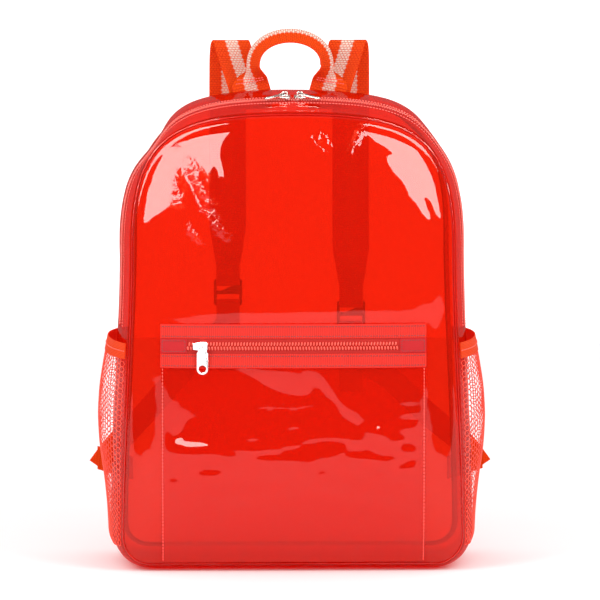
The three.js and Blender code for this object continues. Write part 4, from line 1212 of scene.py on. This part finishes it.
strap = {
    "footPlace": 36,
    "hangPlace": 56,
    "rise": 51.5,
    "standOff": 38,
    "turn": 14,
    "return": 20,
    "neckTaper": 34,
    "looseStart": 12,
    "looseEnd": 62,
    "looseSpread": 4,
    "looseLean": 0.05,
    "tabHeight": 74,
    "tabInside": 8,
    "tabReach": 32,
    "tabRise": 10,
}
adjuster = {"left": 232, "right": 212, "standOff": 20, "height": 24, "thickness": 4, "bar": 3.2}
strapBack = footBack + webbing["thickness"] + bag["gap"]
adjusterBack = strapBack + adjuster["standOff"]
loopRows = table(
    "lean back rise",
    (0, 0, 0),
    (0.05, 0.05, 0.16),
    (0.28, 0.36, 0.42),
    (0.55, 0.48, 0.68),
    (0.78, 0.53, 0.93),
    (0.86, 0.61, 1),
    (0.93, 0.7, 0.96),
    (0.98, 0.76, 0.82),
)
hangRows = table(
    "down back",
    (0, 0.84),
    (0.25, 0.95),
    (0.5, 1),
    (0.75, 0.9),
)
slopeRows = table(
    "way out back up",
    (0, 0.25, 0, -0.35),
    (0, 0, 0, 0),
    (0, -0.5, 0, 0.65),
    (0.35, 0, 0.3, 0),
    (0.7, 0, 0.3, 0),
    (1, 0.9, 0.25, -1.1),
    (1, 0, 0, 0),
)


# Way round an adjuster's bar, for webbing of a thickness
def roundBar(x, y, height, direction, thickness):
    reach = math.hypot(adjuster["thickness"], adjuster["bar"]) / 2 + bag["gap"] + thickness / 2
    turn = np.linspace(0, math.pi, 13)
    return spots(x + 0 * turn, y + reach * np.cos(turn), height - direction * reach * np.sin(turn))


def tabPoint(side, share):
    seamPlace = seamAt(seamShareAt(strap["tabHeight"]))[0]
    x = side * (seamPlace - strap["tabInside"] + share * strap["tabReach"])
    z = strap["tabHeight"] + strap["tabRise"] * share
    return spots(x, backAt(x + 0 * z, z)[..., 1] + onBack, z)


for name, side in sides.items():
    hang = side * strap["hangPlace"]
    barAway = (adjuster["height"] - adjuster["bar"]) / 2
    topBar, bottomBar = adjuster[name] + barAway, adjuster[name] - barAway
    fold = topBar + strap["turn"]
    layer = (webbing["thickness"] + bag["gap"]) / 2
    over = [(side * lerp(strap["footPlace"], strap["hangPlace"], row["lean"]),
             strapBack + strap["standOff"] * row["back"],
             footHeight + (strap["rise"] + handle["footDepth"]) * row["rise"]) for row in loopRows]
    down = [(hang, strapBack + strap["standOff"] * row["back"],
             lerp(footHeight + strap["rise"] / 2, fold, row["down"])) for row in hangRows]
    meeting = (hang, adjusterBack + layer, fold)
    turning = roundBar(hang, adjusterBack, topBar, 1, webbing["thickness"])
    behind = adjusterBack - layer
    ends = [(hang, behind, fold), (hang, behind, fold + strap["return"])]
    route = evenly(np.vstack([curveThrough([*over, *down, meeting], 260), turning, ends]), 330)
    widening = np.clip((route[:, 2] - fold) / strap["neckTaper"], 0, 1)
    widths = lerp(webbing["neckWidth"], webbing["width"], widening)
    across = np.linspace(-0.5, 0.5, 13)[None, :, None] * widths[:, None, None] * np.array([1.0, 0, 0])
    middle, node = route[:, None] + across, f"shoulder_strap_{name}"
    addRibbon(f"strap_webbing_{name}", middle, webbing["thickness"], stripedWebbing, node)

    layer = (webbing["thickness"] + webbing["lowerThickness"]) / 2 + 2 * bag["gap"]
    tip = tabPoint(side, np.array(0.8)) + [0, layer, 0]
    wide, spread = webbing["neckWidth"], strap["looseSpread"]
    high = np.array([hang, adjusterBack - spread, bottomBar - 0.8 * wide])
    slope = [lerp(tip, high, row["way"]) + wide * np.array([side * row["out"], row["back"], row["up"]])
             for row in slopeRows]
    drop = np.linspace(strap["looseStart"], strap["looseEnd"], 20)
    loose = spots(hang, adjusterBack + spread + strap["looseLean"] * drop, bottomBar - drop)
    climb = curveThrough(slope, 140)
    turning = roundBar(hang, adjusterBack, bottomBar, -1, webbing["lowerThickness"])[::-1]
    route = np.vstack([climb, turning, loose])
    square = unit(np.array([high[2] - tip[2], 0, tip[0] - high[0]]))
    turned = np.clip(2 * np.arange(len(route)) / len(climb) - 1, 0, 1)[:, None]
    lies = lerp(square, np.array([1.0, 0, 0]), turned)
    run = runAlong(route)
    at = np.linspace(0, run[-1], 260)
    middle, node = flatMiddle(pickAt(at, run, route), wide, pickAt(at, run, lies)), f"lower_strap_{name}"
    addRibbon(f"lower_webbing_{name}", middle, webbing["lowerThickness"], plainWebbing, node)

    line = tabPoint(side, np.linspace(0, 1, 30))
    across = np.linspace(-0.5, 0.5, 11)[None, :, None] * np.array([0, 0, wide])
    middle, node = line[:, None] + across, f"strap_tab_{name}"
    addRibbon(f"tab_webbing_{name}", middle, webbing["thickness"], plainWebbing, node)
    addRounded(f"ladder_lock_{name}", f"strap_adjuster_{name}", 0.7, darkPlastic)
    addRounded(f"main_zip_slider_{name}", f"main_slider_{name}", 0.3, nickel)
    addRounded(f"main_zip_pull_{name}", f"main_pull_{name}", 0.25, nickel, f"pull_{name}")
addRounded("pocket_zip_slider", "pocket_slider", 0.35, brightMetal)
addRounded("pocket_zip_pull", "pocket_pull", 0.3, brightMetal, "pull_pocket")
print("straps and metal parts are made")


# Floor, light and camera

scene = bpy.context.scene
stage = {
    "floorRadius": 1.6, "boxWidth": 0.6, "boxHeight": 0.9, "boxAway": 1.6, "boxPower": 7.6,
    "boxTurn": 45, "boxUp": 35, "daylight": 1.0, "backdrop": 1.4, "target": (0, 0, 0.22),
    "roomFront": 0.08, "roomRise": 0.32,  # level of the room in reflections, and its rise to the back
    "panes": [  # seen only as reflections, from the left to the right edge and the foot to the top
        {"left": -1.15, "right": -0.17, "foot": 0.28, "top": 1.3, "away": 0.88, "level": 15.0},
        {"left": 0.24, "right": 1.1, "foot": 0.28, "top": 1.3, "away": 0.88, "level": 15.0},
    ],
}

finish, tree = startFinish("white floor", "")
grain = addNode(tree, "TexNoise", {"Scale": 6.0, "Detail": 3.0})[0]
colour = mixColours(tree, grain, (0.93, 0.93, 0.93), (0.97, 0.97, 0.97))
endFinish(tree, addNode(tree, "BsdfDiffuse", {"Color": colour})[0])
bpy.ops.mesh.primitive_circle_add(
    vertices=96, radius=stage["floorRadius"], fill_type="NGON", location=(0, 0, -0.0006))
floor = bpy.context.object
floor.name = "floor"
floor.data.materials.append(finish["material"])

world = bpy.data.worlds.new("studio")
scene.world = world
world.use_nodes = True
tree = world.node_tree
tree.nodes.clear()
rays = addNode(tree, "LightPath")
away = addNode(tree, "SeparateXYZ", {0: addNode(tree, "TexCoord")["Generated"]})[1]
toBack = addNode(tree, "MapRange", {"Value": away, "From Min": -0.15, "From Max": 0.25})[0]
room = mathNode(tree, "MULTIPLY_ADD", toBack, stage["roomRise"], stage["roomFront"])
day, sky = stage["daylight"], stage["backdrop"]
soft = mathNode(tree, "MULTIPLY_ADD", rays["Is Glossy Ray"], mathNode(tree, "SUBTRACT", room, day), day)
level = mathNode(tree, "MULTIPLY_ADD", rays["Is Camera Ray"], mathNode(tree, "SUBTRACT", sky, soft), soft)
background = addNode(tree, "Background", {"Color": (1, 1, 1, 1), "Strength": level})
addNode(tree, "OutputWorld", {"Surface": background[0]})


# Direction from a turn to the right and a rise, in degrees
def direction(turn, up):
    turn, up = math.radians(turn), math.radians(up)
    return Vector((math.sin(turn) * math.cos(up), -math.cos(turn) * math.cos(up), math.sin(up)))


def aim(thing, target):
    thing.rotation_euler = (target - thing.location).to_track_quat("-Z", "Y").to_euler()


def addLamp(name, width, height, energy, place, target):
    light = bpy.data.lights.new(name, "AREA")
    light.shape = "RECTANGLE"
    light.size, light.size_y, light.energy = width, height, energy
    lamp = bpy.data.objects.new(name, light)
    scene.collection.objects.link(lamp)
    lamp.location = place
    aim(lamp, target)
    lamp.visible_camera = False
    return lamp


middle = Vector(stage["target"])
for name, side in sides.items():
    place = middle + stage["boxAway"] * direction(side * stage["boxTurn"], stage["boxUp"])
    size = (stage["boxWidth"], stage["boxHeight"])
    addLamp(f"softbox {name}", *size, stage["boxPower"], place, middle).visible_glossy = False

for number, pane in enumerate(stage["panes"], 1):
    width, height = pane["right"] - pane["left"], pane["top"] - pane["foot"]
    place = Vector(((pane["left"] + pane["right"]) / 2, -pane["away"], (pane["foot"] + pane["top"]) / 2))
    energy = pane["level"] * math.pi * width * height
    lamp = addLamp(f"pane {number}", width, height, energy, place, place + Vector((0, 1, 0)))
    lamp.visible_diffuse = lamp.visible_transmission = False

scene.view_settings.view_transform = "Standard"
scene.cycles.transparent_max_bounces = 40

view = {"target": (0.00625, -0.064, 0.2438), "away": 8.0, "yaw": 1.2, "pitch": 7.0, "lens": 537.6}
camera = bpy.data.objects.new("camera", bpy.data.cameras.new("camera"))
scene.collection.objects.link(camera)
target = Vector(view["target"])
camera.location = target + view["away"] * direction(-view["yaw"], view["pitch"])
aim(camera, target)
camera.data.lens = view["lens"]
camera.data.sensor_width = 36
scene.camera = camera
print("stage is set")
